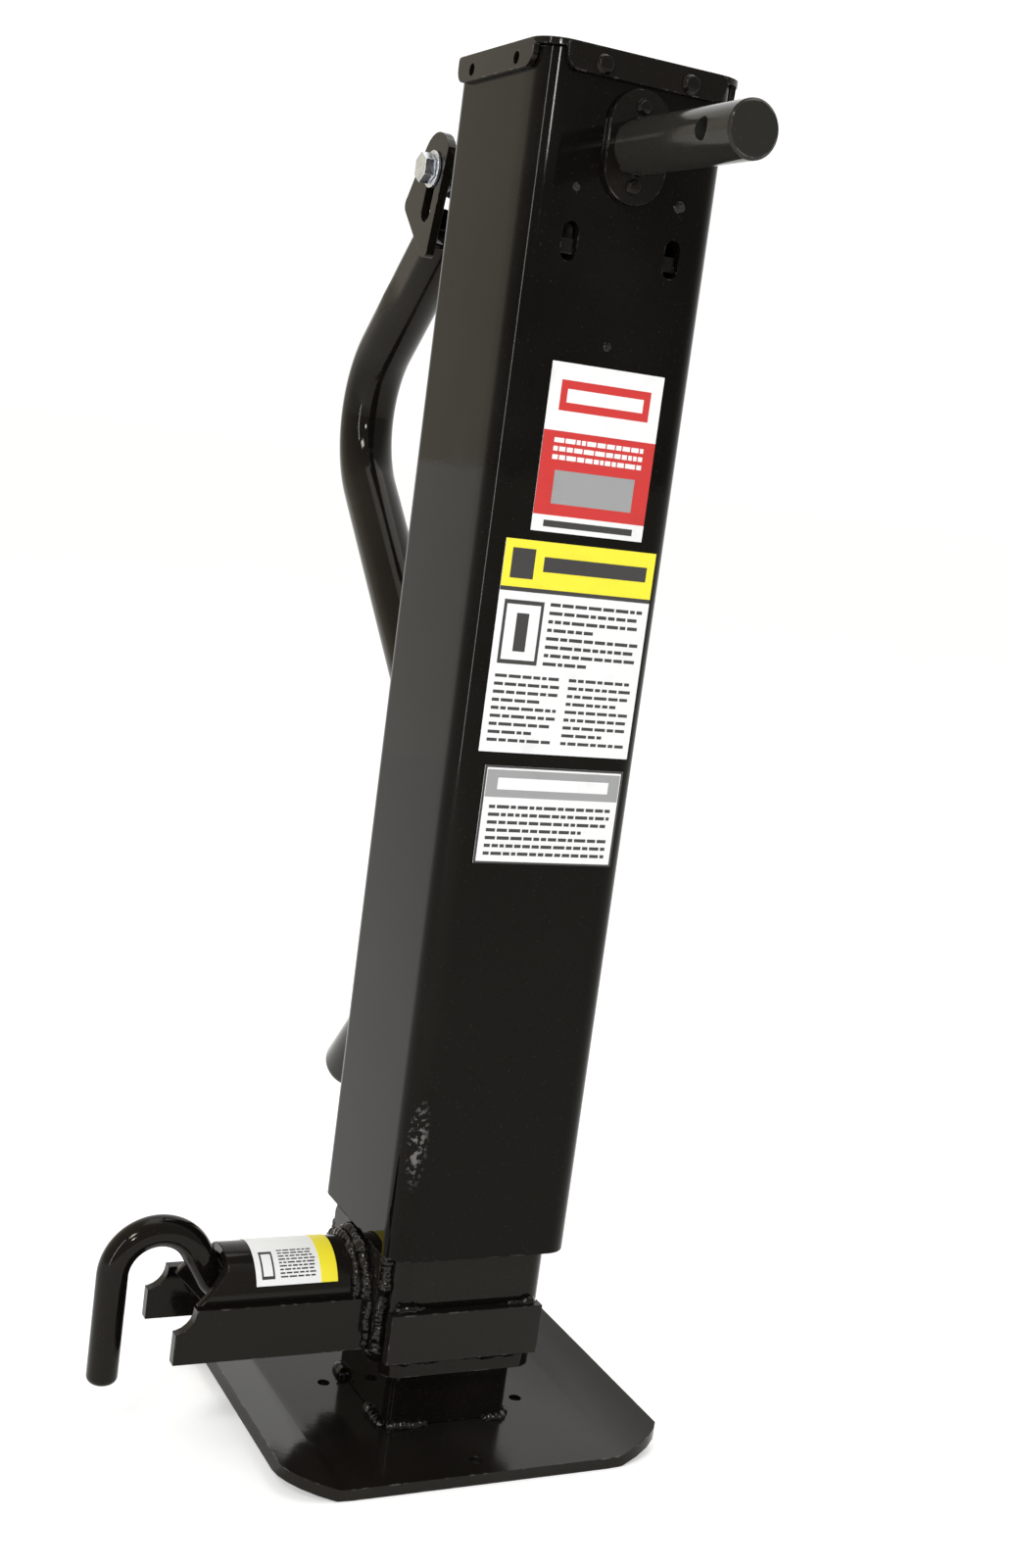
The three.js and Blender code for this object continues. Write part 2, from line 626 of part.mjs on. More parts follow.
const NUT_PLATE_BOTTOM = 540;
const NUT_PLATE_TOP = 550;
const NUT_SEAT = NUT_PLATE_TOP + GAP;
const NUT_BARREL_R = 16.6;
const NUT_FLANGE_R = 23;
const NUT_BOTTOM = 522;
const NUT_TOP = 562;
const SPRING_XY = 21.5;          // the return spring hangs in the rear right corner
const HANGER_R = 3;
const HANGER_HEAD_R = 4.6;
const HANGER_EYE_Z = 524;
const HANGER_EYE_R = 5;
const HANGER_WIRE_R = 1.9;
const DOUBLER_HALF_WIDE = 33;
const DOUBLER_HALF_HIGH = 27;
const DOUBLER_IN = RAM_HALF + GAP;
const DOUBLER_OUT = DOUBLER_IN + 5;
const PIN_TUBE_START = -DOUBLER_OUT - GAP;
const MOUTH_TIP = -138.2;        // the mouth's furthest points, at mid height
const MOUTH_ROOT = -122.5;
const MOUTH_RISE = 16;
const BAND_THICK = 6;
const BAND_BOTTOM = 49;
const BAND_TOP = 75.5;
const BAND_LEFT = -45;
const BAND_RIGHT = 40;
const END_WASHER = [-112, -107];

function makeRamTube() {
  const blank = squareTube(RAM_HALF, RAM_WALL, RAM_CORNER, RAM_BOTTOM, RAM_TOP);
  return cut(blank, cylinder('x', PIN_R + 0.4, -BEYOND, 0, [0, 0, PIN_Z], 24));
}

function makeNutPlate() {
  const half = RAM_HALF - RAM_WALL - GAP;
  const plate = sweptZ(roundedRectangle(half, half, RAM_CORNER - RAM_WALL), NUT_PLATE_BOTTOM, NUT_PLATE_TOP);
  const holes = [[NUT_BARREL_R, 0, 24], [HANGER_R, SPRING_XY, 12]].map(([radius, at, segments]) => cylinder(
    'z', radius + GAP, NUT_PLATE_BOTTOM - 1, NUT_PLATE_TOP + 1, [at, at, 0], segments));
  return cut(plate, ...holes);
}

function makeLeadNut() {
  const bore = SCREW_R + 0.4;
  return turned('z', [[bore, NUT_BOTTOM], [NUT_BARREL_R, NUT_BOTTOM], [NUT_BARREL_R, NUT_SEAT],
    [NUT_FLANGE_R, NUT_SEAT], [NUT_FLANGE_R, NUT_TOP], [bore, NUT_TOP], [bore, NUT_BOTTOM]], 24);
}

function makeSpringHanger() {
  const [bottom, top] = [HANGER_EYE_Z + HANGER_EYE_R, NUT_SEAT + 3.7];
  const shank = turned('z', [[0, bottom], [HANGER_R, bottom], [HANGER_R, NUT_SEAT],
    [HANGER_HEAD_R, NUT_SEAT], [HANGER_HEAD_R, top], [0, top]], 12);
  const eye = new THREE.TorusGeometry(HANGER_EYE_R, HANGER_WIRE_R, 6, 12)
    .rotateX(Math.PI / 2).translate(0, 0, HANGER_EYE_Z);
  return join(shank, eye).translate(SPRING_XY, SPRING_XY, 0);
}

function makeDoubler() {
  const outline = roundedRectangle(DOUBLER_HALF_WIDE, DOUBLER_HALF_HIGH, 4);
  const plate = sweptX(outline, -DOUBLER_OUT, -DOUBLER_IN);
  return cut(plate, cylinder('x', PIN_R + 0.6, -BEYOND, 0, [0, 0, 0], 24)).translate(0, 0, PIN_Z);
}

// The tube's mouth is cut to a double slope: it steps the pull rod outwards as it is turned.
function makePinTube() {
  const tube = ring('x', PIN_TUBE_BORE, PIN_TUBE_R, MOUTH_TIP - 1, PIN_TUBE_START, [0, 0, 0], 24);
  const past = MOUTH_TIP - BEYOND;
  const mouth = polygon([[MOUTH_TIP, 0], [MOUTH_ROOT, MOUTH_RISE], [MOUTH_ROOT, BEYOND], [past, BEYOND],
    [past, -BEYOND], [MOUTH_ROOT, -BEYOND], [MOUTH_ROOT, -MOUTH_RISE]]);
  return cut(tube, sweptY(mouth, -BEYOND, BEYOND)).translate(0, 0, PIN_Z);
}

function makeArm(side) {
  const y0 = side > 0 ? ARM_INNER : -ARM_INNER - ARM_THICK;
  const bar = box(ARM_END_X, PIN_TUBE_START, y0, y0 + ARM_THICK, ARM_BOTTOM, ARM_TOP);
  return cut(bar, cylinder('y', SEAT_R, -BEYOND, BEYOND, [SEAT_X, 0, PIN_Z + 0.7], 24));
}

function makeBand(side) {
  const [near, far] = [DOUBLER_IN, DOUBLER_IN + BAND_THICK].map((y) => side * y).sort((a, b) => a - b);
  return box(BAND_LEFT, BAND_RIGHT, near, far, BAND_BOTTOM, BAND_TOP);
}

piece('ram_tube', makeRamTube(), blackPaint);
piece('nut_plate', makeNutPlate(), darkSteel);
piece('lead_nut', makeLeadNut(), bronze);
piece('spring_hanger', makeSpringHanger(), darkSteel);
piece('pin_doubler', makeDoubler(), blackPaint);
piece('pin_tube', makePinTube(), blackPaint);
for (const [face, side] of SIDES) {
  piece(`pin_arm_${face}`, makeArm(side), blackPaint);
  piece(`ram_band_${face}`, makeBand(side), blackPaint);
}
piece('pin_end_washer', ring('x', PULL_ROD_R + 0.6, PIN_TUBE_BORE - GAP, ...END_WASHER,
  [0, 0, PIN_Z], 24), darkSteel);

// ---------------------------------------------------------------- pull pin

const HOOK_X = -154.5;           // centre of the pull rod's hook
const HOOK_DZ = 9.9;
const HOOK_R = 22.4;
const HOOK_END_Z = 28;
const SET_START = -114.5;        // where the rod starts to bend up to the hook
const SET_R = 14;
const SET_STEPS = 5;
const HOOK_STEPS = 11;
const SPRING_COLLAR_R = 16.8;
const SPRING_COLLAR_OUT = PIN_SHOULDER_X - GAP;
const SPRING_COLLAR_IN = SPRING_COLLAR_OUT - 3;
const PIN_SPRING_R = [10.5, 15]; // inner and outer radius of the coil

// The rod leaves the tube level, bends up, and hooks over to a hanging grip. The angle of
// its sloping run is the one at which that run touches both bends.
function pullRodLine() {
  const [dx, dz, sum] = [SET_START - HOOK_X, HOOK_DZ - SET_R, HOOK_R + SET_R];
  const slope = Math.asin(sum / Math.hypot(dx, dz)) - Math.atan2(-dz, dx);
  const at = (x, z) => new THREE.Vector3(x, 0, PIN_Z + z);
  const points = [at(PIN_SHOULDER_X + 4, 0)];
  for (let k = 0; k <= SET_STEPS; k++) {
    const angle = slope * k / SET_STEPS;
    points.push(at(SET_START - SET_R * Math.sin(angle), SET_R * (1 - Math.cos(angle))));
  }
  const from = Math.PI / 2 - slope;
  for (let k = 0; k <= HOOK_STEPS; k++) {
    const angle = from + (Math.PI - from) * k / HOOK_STEPS;
    points.push(at(HOOK_X + HOOK_R * Math.cos(angle), HOOK_DZ + HOOK_R * Math.sin(angle)));
  }
  points.push(at(HOOK_X - HOOK_R, HOOK_END_Z - PIN_Z));
  return points;
}

function makePullPin() {
  const rod = barAlong(pullRodLine(), PULL_ROD_R, 7);
  const nose = turned('x', [[0, PIN_SHOULDER_X], [PIN_R, PIN_SHOULDER_X], [PIN_R, PIN_NOSE_X - 2],
    [PIN_R - 2, PIN_NOSE_X], [0, PIN_NOSE_X]], 24, [0, 0, PIN_Z]);
  return join(rod, nose);
}

piece('pull_pin', makePullPin(), blackPaint);
piece('pin_spring_collar', ring('x', PULL_ROD_R + 0.4, SPRING_COLLAR_R, SPRING_COLLAR_IN,
  SPRING_COLLAR_OUT, [0, 0, PIN_Z], 24), darkSteel);
piece('pin_spring', ring('x', ...PIN_SPRING_R, END_WASHER[1] + GAP, SPRING_COLLAR_IN - GAP,
  [0, 0, PIN_Z], 16), springSteel);

// ---------------------------------------------------------------- drop leg and foot

const ANCHOR_Z = 32;             // cross pin that holds the return spring's lower end
const ANCHOR_R = 4;
const RETURN_SPRING_R = [4.6, 6.8];
const FOOT_HOLE_R = 3.5;
const FOOT_HOLES = [[0, 74], [49, -18]]; // each one also stands turned by half a turn

function makeDropLeg() {
  const blank = squareTube(LEG_HALF, LEG_WALL, LEG_CORNER, FOOT_THICK + GAP, LEG_TOP);
  const holes = [];
  for (let i = 0; i < LEG_HOLES; i++) {
    holes.push(cylinder('x', PIN_R + 0.8, -BEYOND, 0, [0, 0, PIN_Z + i * LEG_HOLE_PITCH], 16));
  }
  return cut(blank, ...holes);
}

function makeFoot() {
  const angle = Math.atan2(FOOT_LIP_RISE, FOOT_LIP_RUN);
  const end = FOOT_FLAT_HALF + FOOT_LIP_RUN;
  const back = FOOT_THICK * Math.tan(angle / 2);
  const [nx, nz] = [-FOOT_THICK * Math.sin(angle), FOOT_THICK * Math.cos(angle)];
  const right = [[FOOT_FLAT_HALF, 0], [end, FOOT_LIP_RISE], [end + nx, FOOT_LIP_RISE + nz],
    [FOOT_FLAT_HALF - back, FOOT_THICK]];
  const left = right.map(([x, z]) => [-x, z]).reverse();
  const blank = sweptY(polygon([...right, ...left]), -FOOT_HALF_DEPTH, FOOT_HALF_DEPTH);
  const cuts = [];
  for (const sx of [-1, 1]) {
    for (const sy of [-1, 1]) {
      const outline = [[sx * (end + 5), sy * (FOOT_HALF_DEPTH - FOOT_CORNER_Y)],
        [sx * (end + 5), sy * (FOOT_HALF_DEPTH + 5)],
        [sx * (end - FOOT_CORNER_X), sy * (FOOT_HALF_DEPTH + 5)]];
      for (let k = 0; k <= FOOT_CORNER_STEPS; k++) {
        const turn = Math.PI / 2 * (1 - k / FOOT_CORNER_STEPS);
        outline.push([sx * (end - FOOT_CORNER_X * (1 - Math.cos(turn))),
          sy * (FOOT_HALF_DEPTH - FOOT_CORNER_Y * (1 - Math.sin(turn)))]);
      }
      cuts.push(sweptZ(polygon(outline), -BEYOND, BEYOND));
    }
    for (const [x, y] of FOOT_HOLES) {
      cuts.push(cylinder('z', FOOT_HOLE_R, -BEYOND, BEYOND, [sx * x, sx * y, 0], 12));
    }
  }
  return cut(blank, ...cuts);
}

piece('drop_leg', makeDropLeg(), blackPaint);
piece('foot_plate', makeFoot(), blackPaint);
const ANCHOR_HALF = LEG_HALF - LEG_WALL - GAP;
piece('spring_anchor', cylinder('x', ANCHOR_R, -ANCHOR_HALF, ANCHOR_HALF,
  [0, SPRING_XY, ANCHOR_Z], 12), darkSteel);
piece('return_spring', ring('z', ...RETURN_SPRING_R, ANCHOR_Z + ANCHOR_R + GAP,
  HANGER_EYE_Z - HANGER_EYE_R - HANGER_WIRE_R - GAP, [SPRING_XY, SPRING_XY, 0], 12), springSteel);

// ---------------------------------------------------------------- labels

const LABEL_THICK = 0.4;
const PIN_LABEL_X = [-108.5, -65];
const FRONT_LABELS = {           // left, right, bottom, top
  label_rating: [-27.8, 32.5, 474.2, 553.2],
  label_instructions: [-39.7, 41.8, 367.1, 469.4],
  label_notice: [-35, 41, 312.1, 360.5],
};

function makeFrontLabel([left, right, bottom, top]) {
  const y = -HOUSING_HALF - GAP;
  return box(left, right, y - LABEL_THICK, y, bottom, top);
}

// A sticker wrapped over the upper front of the pin tube.
function makePinLabel() {
  const inner = PIN_TUBE_R + GAP;
  const [start, end] = [0.2 * Math.PI, 0.88 * Math.PI];
  const arc = new THREE.Shape();
  arc.absarc(0, 0, inner + LABEL_THICK, start, end);
  arc.absarc(0, 0, inner, end, start, true);
  arc.closePath();
  return sweptX(arc, ...PIN_LABEL_X, 6).translate(0, 0, PIN_Z);
}

for (const [name, edges] of Object.entries(FRONT_LABELS)) {
  piece(name, makeFrontLabel(edges), labelStock);
}
piece('label_pin', makePinLabel(), labelStock);

export default group;
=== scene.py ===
"""Looks for the square trailer jack: paint, plating, welds, labels, springs, lights and camera."""

import json
import math
import random

import bmesh
import bpy
from mathutils import Matrix, Vector, noise


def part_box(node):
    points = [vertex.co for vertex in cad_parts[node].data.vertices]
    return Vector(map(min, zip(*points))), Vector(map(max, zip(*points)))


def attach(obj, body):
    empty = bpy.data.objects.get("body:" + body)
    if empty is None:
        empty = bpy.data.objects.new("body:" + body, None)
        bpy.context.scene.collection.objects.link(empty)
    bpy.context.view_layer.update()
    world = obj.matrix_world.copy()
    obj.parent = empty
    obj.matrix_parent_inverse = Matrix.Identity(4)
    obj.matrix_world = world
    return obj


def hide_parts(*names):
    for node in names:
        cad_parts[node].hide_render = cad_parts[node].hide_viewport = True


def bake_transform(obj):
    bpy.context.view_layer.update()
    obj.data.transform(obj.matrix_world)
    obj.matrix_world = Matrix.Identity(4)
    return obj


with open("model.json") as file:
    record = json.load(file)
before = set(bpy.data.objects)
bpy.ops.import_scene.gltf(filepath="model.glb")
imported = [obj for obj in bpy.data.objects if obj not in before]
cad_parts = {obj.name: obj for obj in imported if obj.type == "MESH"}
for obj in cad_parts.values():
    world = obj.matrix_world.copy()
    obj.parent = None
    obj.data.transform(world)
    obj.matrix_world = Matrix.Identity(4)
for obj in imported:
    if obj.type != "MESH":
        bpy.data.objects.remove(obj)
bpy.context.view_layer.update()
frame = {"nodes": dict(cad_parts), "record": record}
nodes = frame["nodes"]

MM = 0.001
noise.seed_set(7)

# ---------------------------------------------------------------- places read from the frame

housing_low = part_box("housing_tube")[0]
ram_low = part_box("ram_tube")[0]
leg_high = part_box("drop_leg")[1]
foot_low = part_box("foot_plate")[0]
doubler_low, doubler_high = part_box("pin_doubler")
tube_low, tube_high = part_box("pin_tube")
arm_low, arm_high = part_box("pin_arm_front")
handle_low, handle_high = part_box("handle_tube")
pin_low, pin_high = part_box("pull_pin")
label_low, label_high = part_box("label_pin")
pin_z = (tube_low.z + tube_high.z) / 2

# ---------------------------------------------------------------- driving dimensions

FOOT_THICK = 6 * MM

CLEVIS_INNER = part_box("clevis_plate_right")[0].x - 0.3 * MM
CLEVIS_EDGE = ((0.1748, 0.6294), (0.1547, 0.6121))    # lower edge of the clevis plates (y, z)
HANDLE_BEND = 57.5 * MM
HANDLE_CORNERS = ((0.1572, 0.6257), (0.2738, 0.517), (0.091, 0.3504), (0.091, 0.204), (0.154, 0.135))
HANDLE_SIDES = 48
PRESSED_LENGTH = 50 * MM                              # pressed flat this far, then eased back to round
PRESSED_EASE = 20 * MM
HOLLOW_CENTRE = Vector((0, 0.1493, 0.6325))           # the tube's end is hollowed to clear the shaft
HOLLOW_RADIUS = 19 * MM

ROD_RADIUS = 7.94 * MM
ROD_START = -0.066
PIN_RADIUS = 11 * MM
PIN_NOSE = ((-0.070, 0.6), (-0.070, 1.0), (-0.0382, 1.0), (pin_high.x, 0.82))    # (x, share of the radius)
HOOK_RISE = 9.9 * MM                                  # the hook's centre above the pin's axis
HOOK_CENTRE = Vector((-0.1545, 0, pin_z + HOOK_RISE))
HOOK_RADIUS = 22.4 * MM
SET_RADIUS = 14 * MM                                  # bend where the rod leaves the tube
SET_START = -0.1145

TUBE_OUTER = (tube_high.y - tube_low.y) / 2
TUBE_INNER = 17.5 * MM
TUBE_SIDES = 96
MOUTH_TIP, MOUTH_ROOT = -0.1382, -0.1225
MOUTH_RISE = 16 * MM
MOUTH_EASE = 0.5 * MM

RIPPLE_PITCH = 3.0 * MM                               # weld ripples
RIPPLE_STEP = 0.5 * MM
SPATTER_SPACING = 14                                  # steps of a bead for each ball of spatter
BAND_WELDS = ((-0.042, -0.025), (0.022, 0.038))       # start and end of each run on top of a flat bar
BAND_SEAM = (-0.041, 0.037)                           # the long run below it
FOOT_WELDS = ((-0.034, -0.010), (0.020, 0.034))
PLUG_WELDS = ((0.0276, 0.632, 3.4 * MM), (0.0, 0.563, 2.6 * MM), (-0.0276, 0.632, 2.2 * MM))  # (x, z, size)

INK = 0.05 * MM                                       # thickness of one printed layer on a label
FILM = 0.3 * MM                                       # thickness of a label's film on the pin tube
FILM_START, FILM_END = 36, 158                        # degrees round the pin tube


# ---------------------------------------------------------------- material helpers

class Nodes:
    """A small wrapper that makes a node material's graph short to write."""

    def __init__(self, name):
        self.material = bpy.data.materials.new(name)
        self.material.use_nodes = True
        self.tree = self.material.node_tree
        self.shader = self.tree.nodes["Principled BSDF"]
        self.place = self.add("ShaderNodeTexCoord").outputs["Object"]

    def add(self, kind, **settings):
        """Adds one node and sets its properties."""
        node = self.tree.nodes.new(kind)
        for key, value in settings.items():
            setattr(node, key, value)
        return node

    def link(self, source, target):
        """Connects an output to a socket; a plain number is set on the socket itself."""
        if isinstance(source, (int, float)):
            target.default_value = source
        else:
            self.tree.links.new(source, target)

    def noise(self, scale, detail=4.0, stretch=None):
        """Noise in the object's own space, about 0 to 1."""
        place = self.place
        if stretch:
            mapping = self.add("ShaderNodeMapping")
            mapping.inputs["Scale"].default_value = stretch
            self.link(place, mapping.inputs["Vector"])
            place = mapping.outputs["Vector"]
        texture = self.add("ShaderNodeTexNoise")
        texture.inputs["Scale"].default_value = scale
        texture.inputs["Detail"].default_value = detail
        self.link(place, texture.inputs["Vector"])
        return texture.outputs["Fac"]

    def remap(self, value, low, high):
        """Goes smoothly from 0 to 1 as the value goes from low to high."""
        node = self.add("ShaderNodeMapRange", interpolation_type="SMOOTHSTEP")
        self.link(value, node.inputs["Value"])
        node.inputs["From Min"].default_value = low
        node.inputs["From Max"].default_value = high
        return node.outputs["Result"]

    def math(self, operation, first, second):
        """Adds, multiplies or compares two values."""
        node = self.add("ShaderNodeMath", operation=operation)
        self.link(first, node.inputs[0])
        self.link(second, node.inputs[1])
        return node.outputs[0]

    def mix(self, share, first, second):
        """Mixes two colours; a colour is a tuple or another node's output."""
        node = self.add("ShaderNodeMix", data_type="RGBA")
        self.link(share, node.inputs[0])
        for socket, colour in ((node.inputs[6], first), (node.inputs[7], second)):
            if isinstance(colour, tuple):
                socket.default_value = (*colour, 1.0)
            else:
                self.link(colour, socket)
        return node.outputs[2]

    def edges(self, radius):
        """How far each point is into a rounded edge, 0 on flat faces and 1 on an edge."""
        rounded = self.add("ShaderNodeBevel", samples=4)
        rounded.inputs["Radius"].default_value = radius
        true = self.add("ShaderNodeNewGeometry").outputs["Normal"]
        alike = self.add("ShaderNodeVectorMath", operation="DOT_PRODUCT")
        self.link(rounded.outputs["Normal"], alike.inputs[0])
        self.link(true, alike.inputs[1])
        return self.remap(alike.outputs["Value"], 0.995, 0.93)

    def bump(self, *layers):
        """Roughens the shader's normal; each layer is (height, distance)."""
        normal = None
        for height, distance in layers:
            node = self.add("ShaderNodeBump")
            node.inputs["Strength"].default_value = 1.0
            node.inputs["Distance"].default_value = distance
            self.link(height, node.inputs["Height"])
            if normal:
                self.link(normal, node.inputs["Normal"])
            normal = node.outputs["Normal"]
        self.link(normal, self.shader.inputs["Normal"])

    def finish(self, colour, roughness, metallic, **others):
        """Fills the shader's sockets; other sockets are named with _ in place of spaces."""
        if isinstance(colour, tuple):
            self.shader.inputs["Base Color"].default_value = (*colour, 1.0)
        else:
            self.link(colour, self.shader.inputs["Base Color"])
        self.link(roughness, self.shader.inputs["Roughness"])
        self.link(metallic, self.shader.inputs["Metallic"])
        for socket, value in others.items():
            self.shader.inputs[socket.replace("_", " ")].default_value = value
        return self.material


PAINT_TINT = (1.0, 0.94, 0.83, 1.0)
WORN_COLOUR = (0.20, 0.19, 0.18)
SPECK_COLOUR = (0.09, 0.085, 0.08)


def scuff_mask(m, centre, size):
    """A broken patch round a centre; size holds its three half widths."""
    moved = m.add("ShaderNodeVectorMath", operation="SUBTRACT")
    m.link(m.place, moved.inputs[0])
    moved.inputs[1].default_value = centre
    scaled = m.add("ShaderNodeVectorMath", operation="DIVIDE")
    m.link(moved.outputs[0], scaled.inputs[0])
    scaled.inputs[1].default_value = size
    length = m.add("ShaderNodeVectorMath", operation="LENGTH")
    m.link(scaled.outputs[0], length.inputs[0])
    near = m.remap(length.outputs["Value"], 1.0, 0.35)
    return m.math("MULTIPLY", near, m.remap(m.noise(420.0, 8.0), 0.5, 0.6))


def black_paint(name, base, rough, wear, runs=0.00002, scuff=None, gloss=0.17):
    """Gloss enamel over steel: orange peel, faint dust and streaks, worn edges, one optional scuff."""
    m = Nodes(name)
    dust = m.remap(m.noise(9.0, 6.0), 0.48, 0.75)
    streaks = m.remap(m.noise(60.0, 3.0, (1.0, 1.0, 0.06)), 0.5, 0.8)
    specks = m.remap(m.noise(900.0, 2.0), 0.66, 0.74)
    edge = m.math("MULTIPLY", m.edges(0.0011), m.remap(m.noise(170.0, 5.0), 0.52, 0.66))
    worn = m.math("MULTIPLY", edge, wear)
    if scuff:
        worn = m.math("MAXIMUM", worn, m.math("MULTIPLY", scuff_mask(m, *scuff), 0.6))
    dusty = m.mix(m.math("MULTIPLY", dust, 0.35), base, tuple(2.6 * c + 0.004 for c in base))
    speckled = m.mix(m.math("MULTIPLY", specks, 0.12), dusty, SPECK_COLOUR)
    colour = m.mix(worn, speckled, WORN_COLOUR)
    roughness = m.math("ADD", rough, m.math("MULTIPLY", dust, 0.10))
    roughness = m.math("ADD", roughness, m.math("MULTIPLY", streaks, 0.06))
    roughness = m.math("ADD", roughness, m.math("MULTIPLY", worn, 0.25))
    m.bump((m.noise(420.0, 2.0), runs), (m.noise(38.0, 2.0), runs * 3))
    return m.finish(colour, roughness, m.math("MULTIPLY", worn, 0.7), Specular_IOR_Level=gloss,
                    Specular_Tint=PAINT_TINT)


def metal(name, base, dark, rough, scale=140.0, depth=0.00003):
    """Bare or plated metal with blotches, fine grain and brighter rubbed edges."""
    m = Nodes(name)
    blotch = m.remap(m.noise(scale, 5.0), 0.38, 0.68)
    grime = m.remap(m.noise(scale * 0.35, 4.0), 0.5, 0.72)
    edge = m.edges(0.0007)
    colour = m.mix(blotch, base, tuple(0.78 * c for c in base))
    colour = m.mix(m.math("MULTIPLY", grime, 0.55), colour, dark)
    colour = m.mix(m.math("MULTIPLY", edge, 0.6), colour, tuple(min(1.0, 1.25 * c) for c in base))
    roughness = m.math("ADD", rough, m.math("MULTIPLY", blotch, 0.14))
    m.bump((m.noise(scale * 6, 3.0), depth))
    return m.finish(colour, roughness, 1.0)


def film(name, base, rough=0.38):
    """Printed vinyl: slightly uneven ink, light rubbing and soft dirt."""
    m = Nodes(name)
    dirt = m.remap(m.noise(55.0, 6.0), 0.52, 0.75)
    ink = m.remap(m.noise(900.0, 2.0), 0.3, 0.7)
    colour = m.mix(m.math("MULTIPLY", ink, 0.25), base, tuple(0.93 * c for c in base))
    colour = m.mix(m.math("MULTIPLY", dirt, 0.3), colour, tuple(0.72 * c for c in base))
    roughness = m.math("ADD", rough, m.math("MULTIPLY", dirt, 0.15))
    m.bump((m.noise(300.0, 2.0), 0.00001))
    return m.finish(colour, roughness, 0.0)


SCUFF = (Vector((housing_low.x + 0.006, housing_low.y, 0.168)), Vector((0.007, 0.007, 0.028)))
paint = black_paint("enamel_black", (0.0042, 0.0034, 0.0026), 0.07, 0.5)
housing_paint = black_paint("enamel_housing", (0.0024, 0.0020, 0.0015), 0.035, 0.35, runs=0.000006,
                            scuff=SCUFF, gloss=0.1)
bar_paint = black_paint("enamel_bars", (0.0075, 0.0064, 0.0052), 0.12, 0.6, runs=0.00003)
shaft_paint = black_paint("enamel_shaft", (0.017, 0.0165, 0.014), 0.12, 0.7)
weld_paint = black_paint("enamel_welds", (0.0035, 0.003, 0.0026), 0.05, 0.08, runs=0.00016, gloss=0.3)
zinc = metal("zinc_plate", (0.66, 0.68, 0.71), (0.30, 0.30, 0.29), 0.24)
steel = metal("machined_steel", (0.34, 0.33, 0.32), (0.07, 0.05, 0.03), 0.34)
spring_wire = metal("spring_wire", (0.20, 0.20, 0.21), (0.05, 0.045, 0.04), 0.36)
bronze = metal("bronze", (0.62, 0.42, 0.19), (0.22, 0.13, 0.05), 0.33)
white_film = film("film_white", (0.80, 0.80, 0.79))
red_film = film("film_red", (0.55, 0.025, 0.022))
yellow_film = film("film_yellow", (0.86, 0.74, 0.03))
grey_film = film("film_grey", (0.30, 0.30, 0.30))
dark_film = film("film_dark", (0.035, 0.033, 0.032))

SLOT_MATERIALS = {
    "black_paint": paint,
    "zinc_plate": zinc,
    "bare_steel": steel,
    "spring_steel": spring_wire,
    "bronze": bronze,
    "labels": white_film,
}


# ---------------------------------------------------------------- CAD nodes that stay

def soften(obj, bevel):
    """Rounds the sharp edges and smooths the curved faces, without touching the mesh itself."""
    obj.data.polygons.foreach_set("use_smooth", [True] * len(obj.data.polygons))
    weld = obj.modifiers.new("weld", "WELD")
    weld.merge_threshold = 2e-6
    flat = obj.modifiers.new("flat_faces", "DECIMATE")
    flat.decimate_type = "DISSOLVE"
    flat.angle_limit = math.radians(0.5)
    edge = obj.modifiers.new("edges", "BEVEL")
    edge.width = bevel
    edge.segments = 2
    edge.limit_method = "ANGLE"
    edge.angle_limit = math.radians(40)
    edge.miter_outer = "MITER_ARC"
    normals = obj.modifiers.new("normals", "WEIGHTED_NORMAL")
    normals.weight = 90
    normals.keep_sharp = False


slot_of = {entry["node"]: entry["material_slot"] for entry in frame["record"]["subparts"]}
FINE_BEVEL = 0.25
EDGE_BEVELS = {"housing_tube": 0.9, "ram_tube": 0.8, "drop_leg": 0.7, "foot_plate": 0.7, "top_cap": 0.6}
PAINTS = {"housing_tube": housing_paint, "foot_plate": bar_paint, "ram_band_front": bar_paint,
          "ram_band_rear": bar_paint, "pin_doubler": bar_paint, "cross_shaft": shaft_paint}
for node_name, node in nodes.items():
    soften(node, EDGE_BEVELS.get(node_name, FINE_BEVEL) * MM)
    node.data.materials.clear()
    node.data.materials.append(PAINTS.get(node_name, SLOT_MATERIALS[slot_of[node_name]]))


# ---------------------------------------------------------------- mesh helpers

def linked(name, data):
    """Makes an object and puts it into the scene."""
    obj = bpy.data.objects.new(name, data)
    bpy.context.scene.collection.objects.link(obj)
    return obj


def piece(name, mesh, body, material, slot, *replaced):
    """Makes one finished piece of a mesh, parented to an empty named for a body."""
    obj = linked(name, mesh)
    if material:
        mesh.materials.append(material)
    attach(obj, body)
    if replaced:
        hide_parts(*replaced)
    return obj


def outward(mesh, join=False):
    """Turns all faces outward, and joins points that lie on one another when asked to."""
    work = bmesh.new()
    work.from_mesh(mesh)
    if join:
        bmesh.ops.remove_doubles(work, verts=work.verts, dist=1e-7)
    bmesh.ops.recalc_face_normals(work, faces=work.faces)
    work.to_mesh(mesh)
    work.free()


def mesh_from(name, vertices, faces, smooth_angle=35):
    """A smooth mesh with sharp edges where its faces meet at more than an angle."""
    mesh = bpy.data.meshes.new(name)
    mesh.from_pydata([tuple(v) for v in vertices], [], faces)
    outward(mesh, join=True)
    mesh.polygons.foreach_set("use_smooth", [True] * len(mesh.polygons))
    mesh.set_sharp_from_angle(angle=math.radians(smooth_angle))
    return mesh


def merge(vertices, faces, more_vertices, more_faces):
    """Adds one shape's vertices and faces to another's."""
    base = len(vertices)
    vertices += more_vertices
    faces += [tuple(base + v for v in face) for face in more_faces]


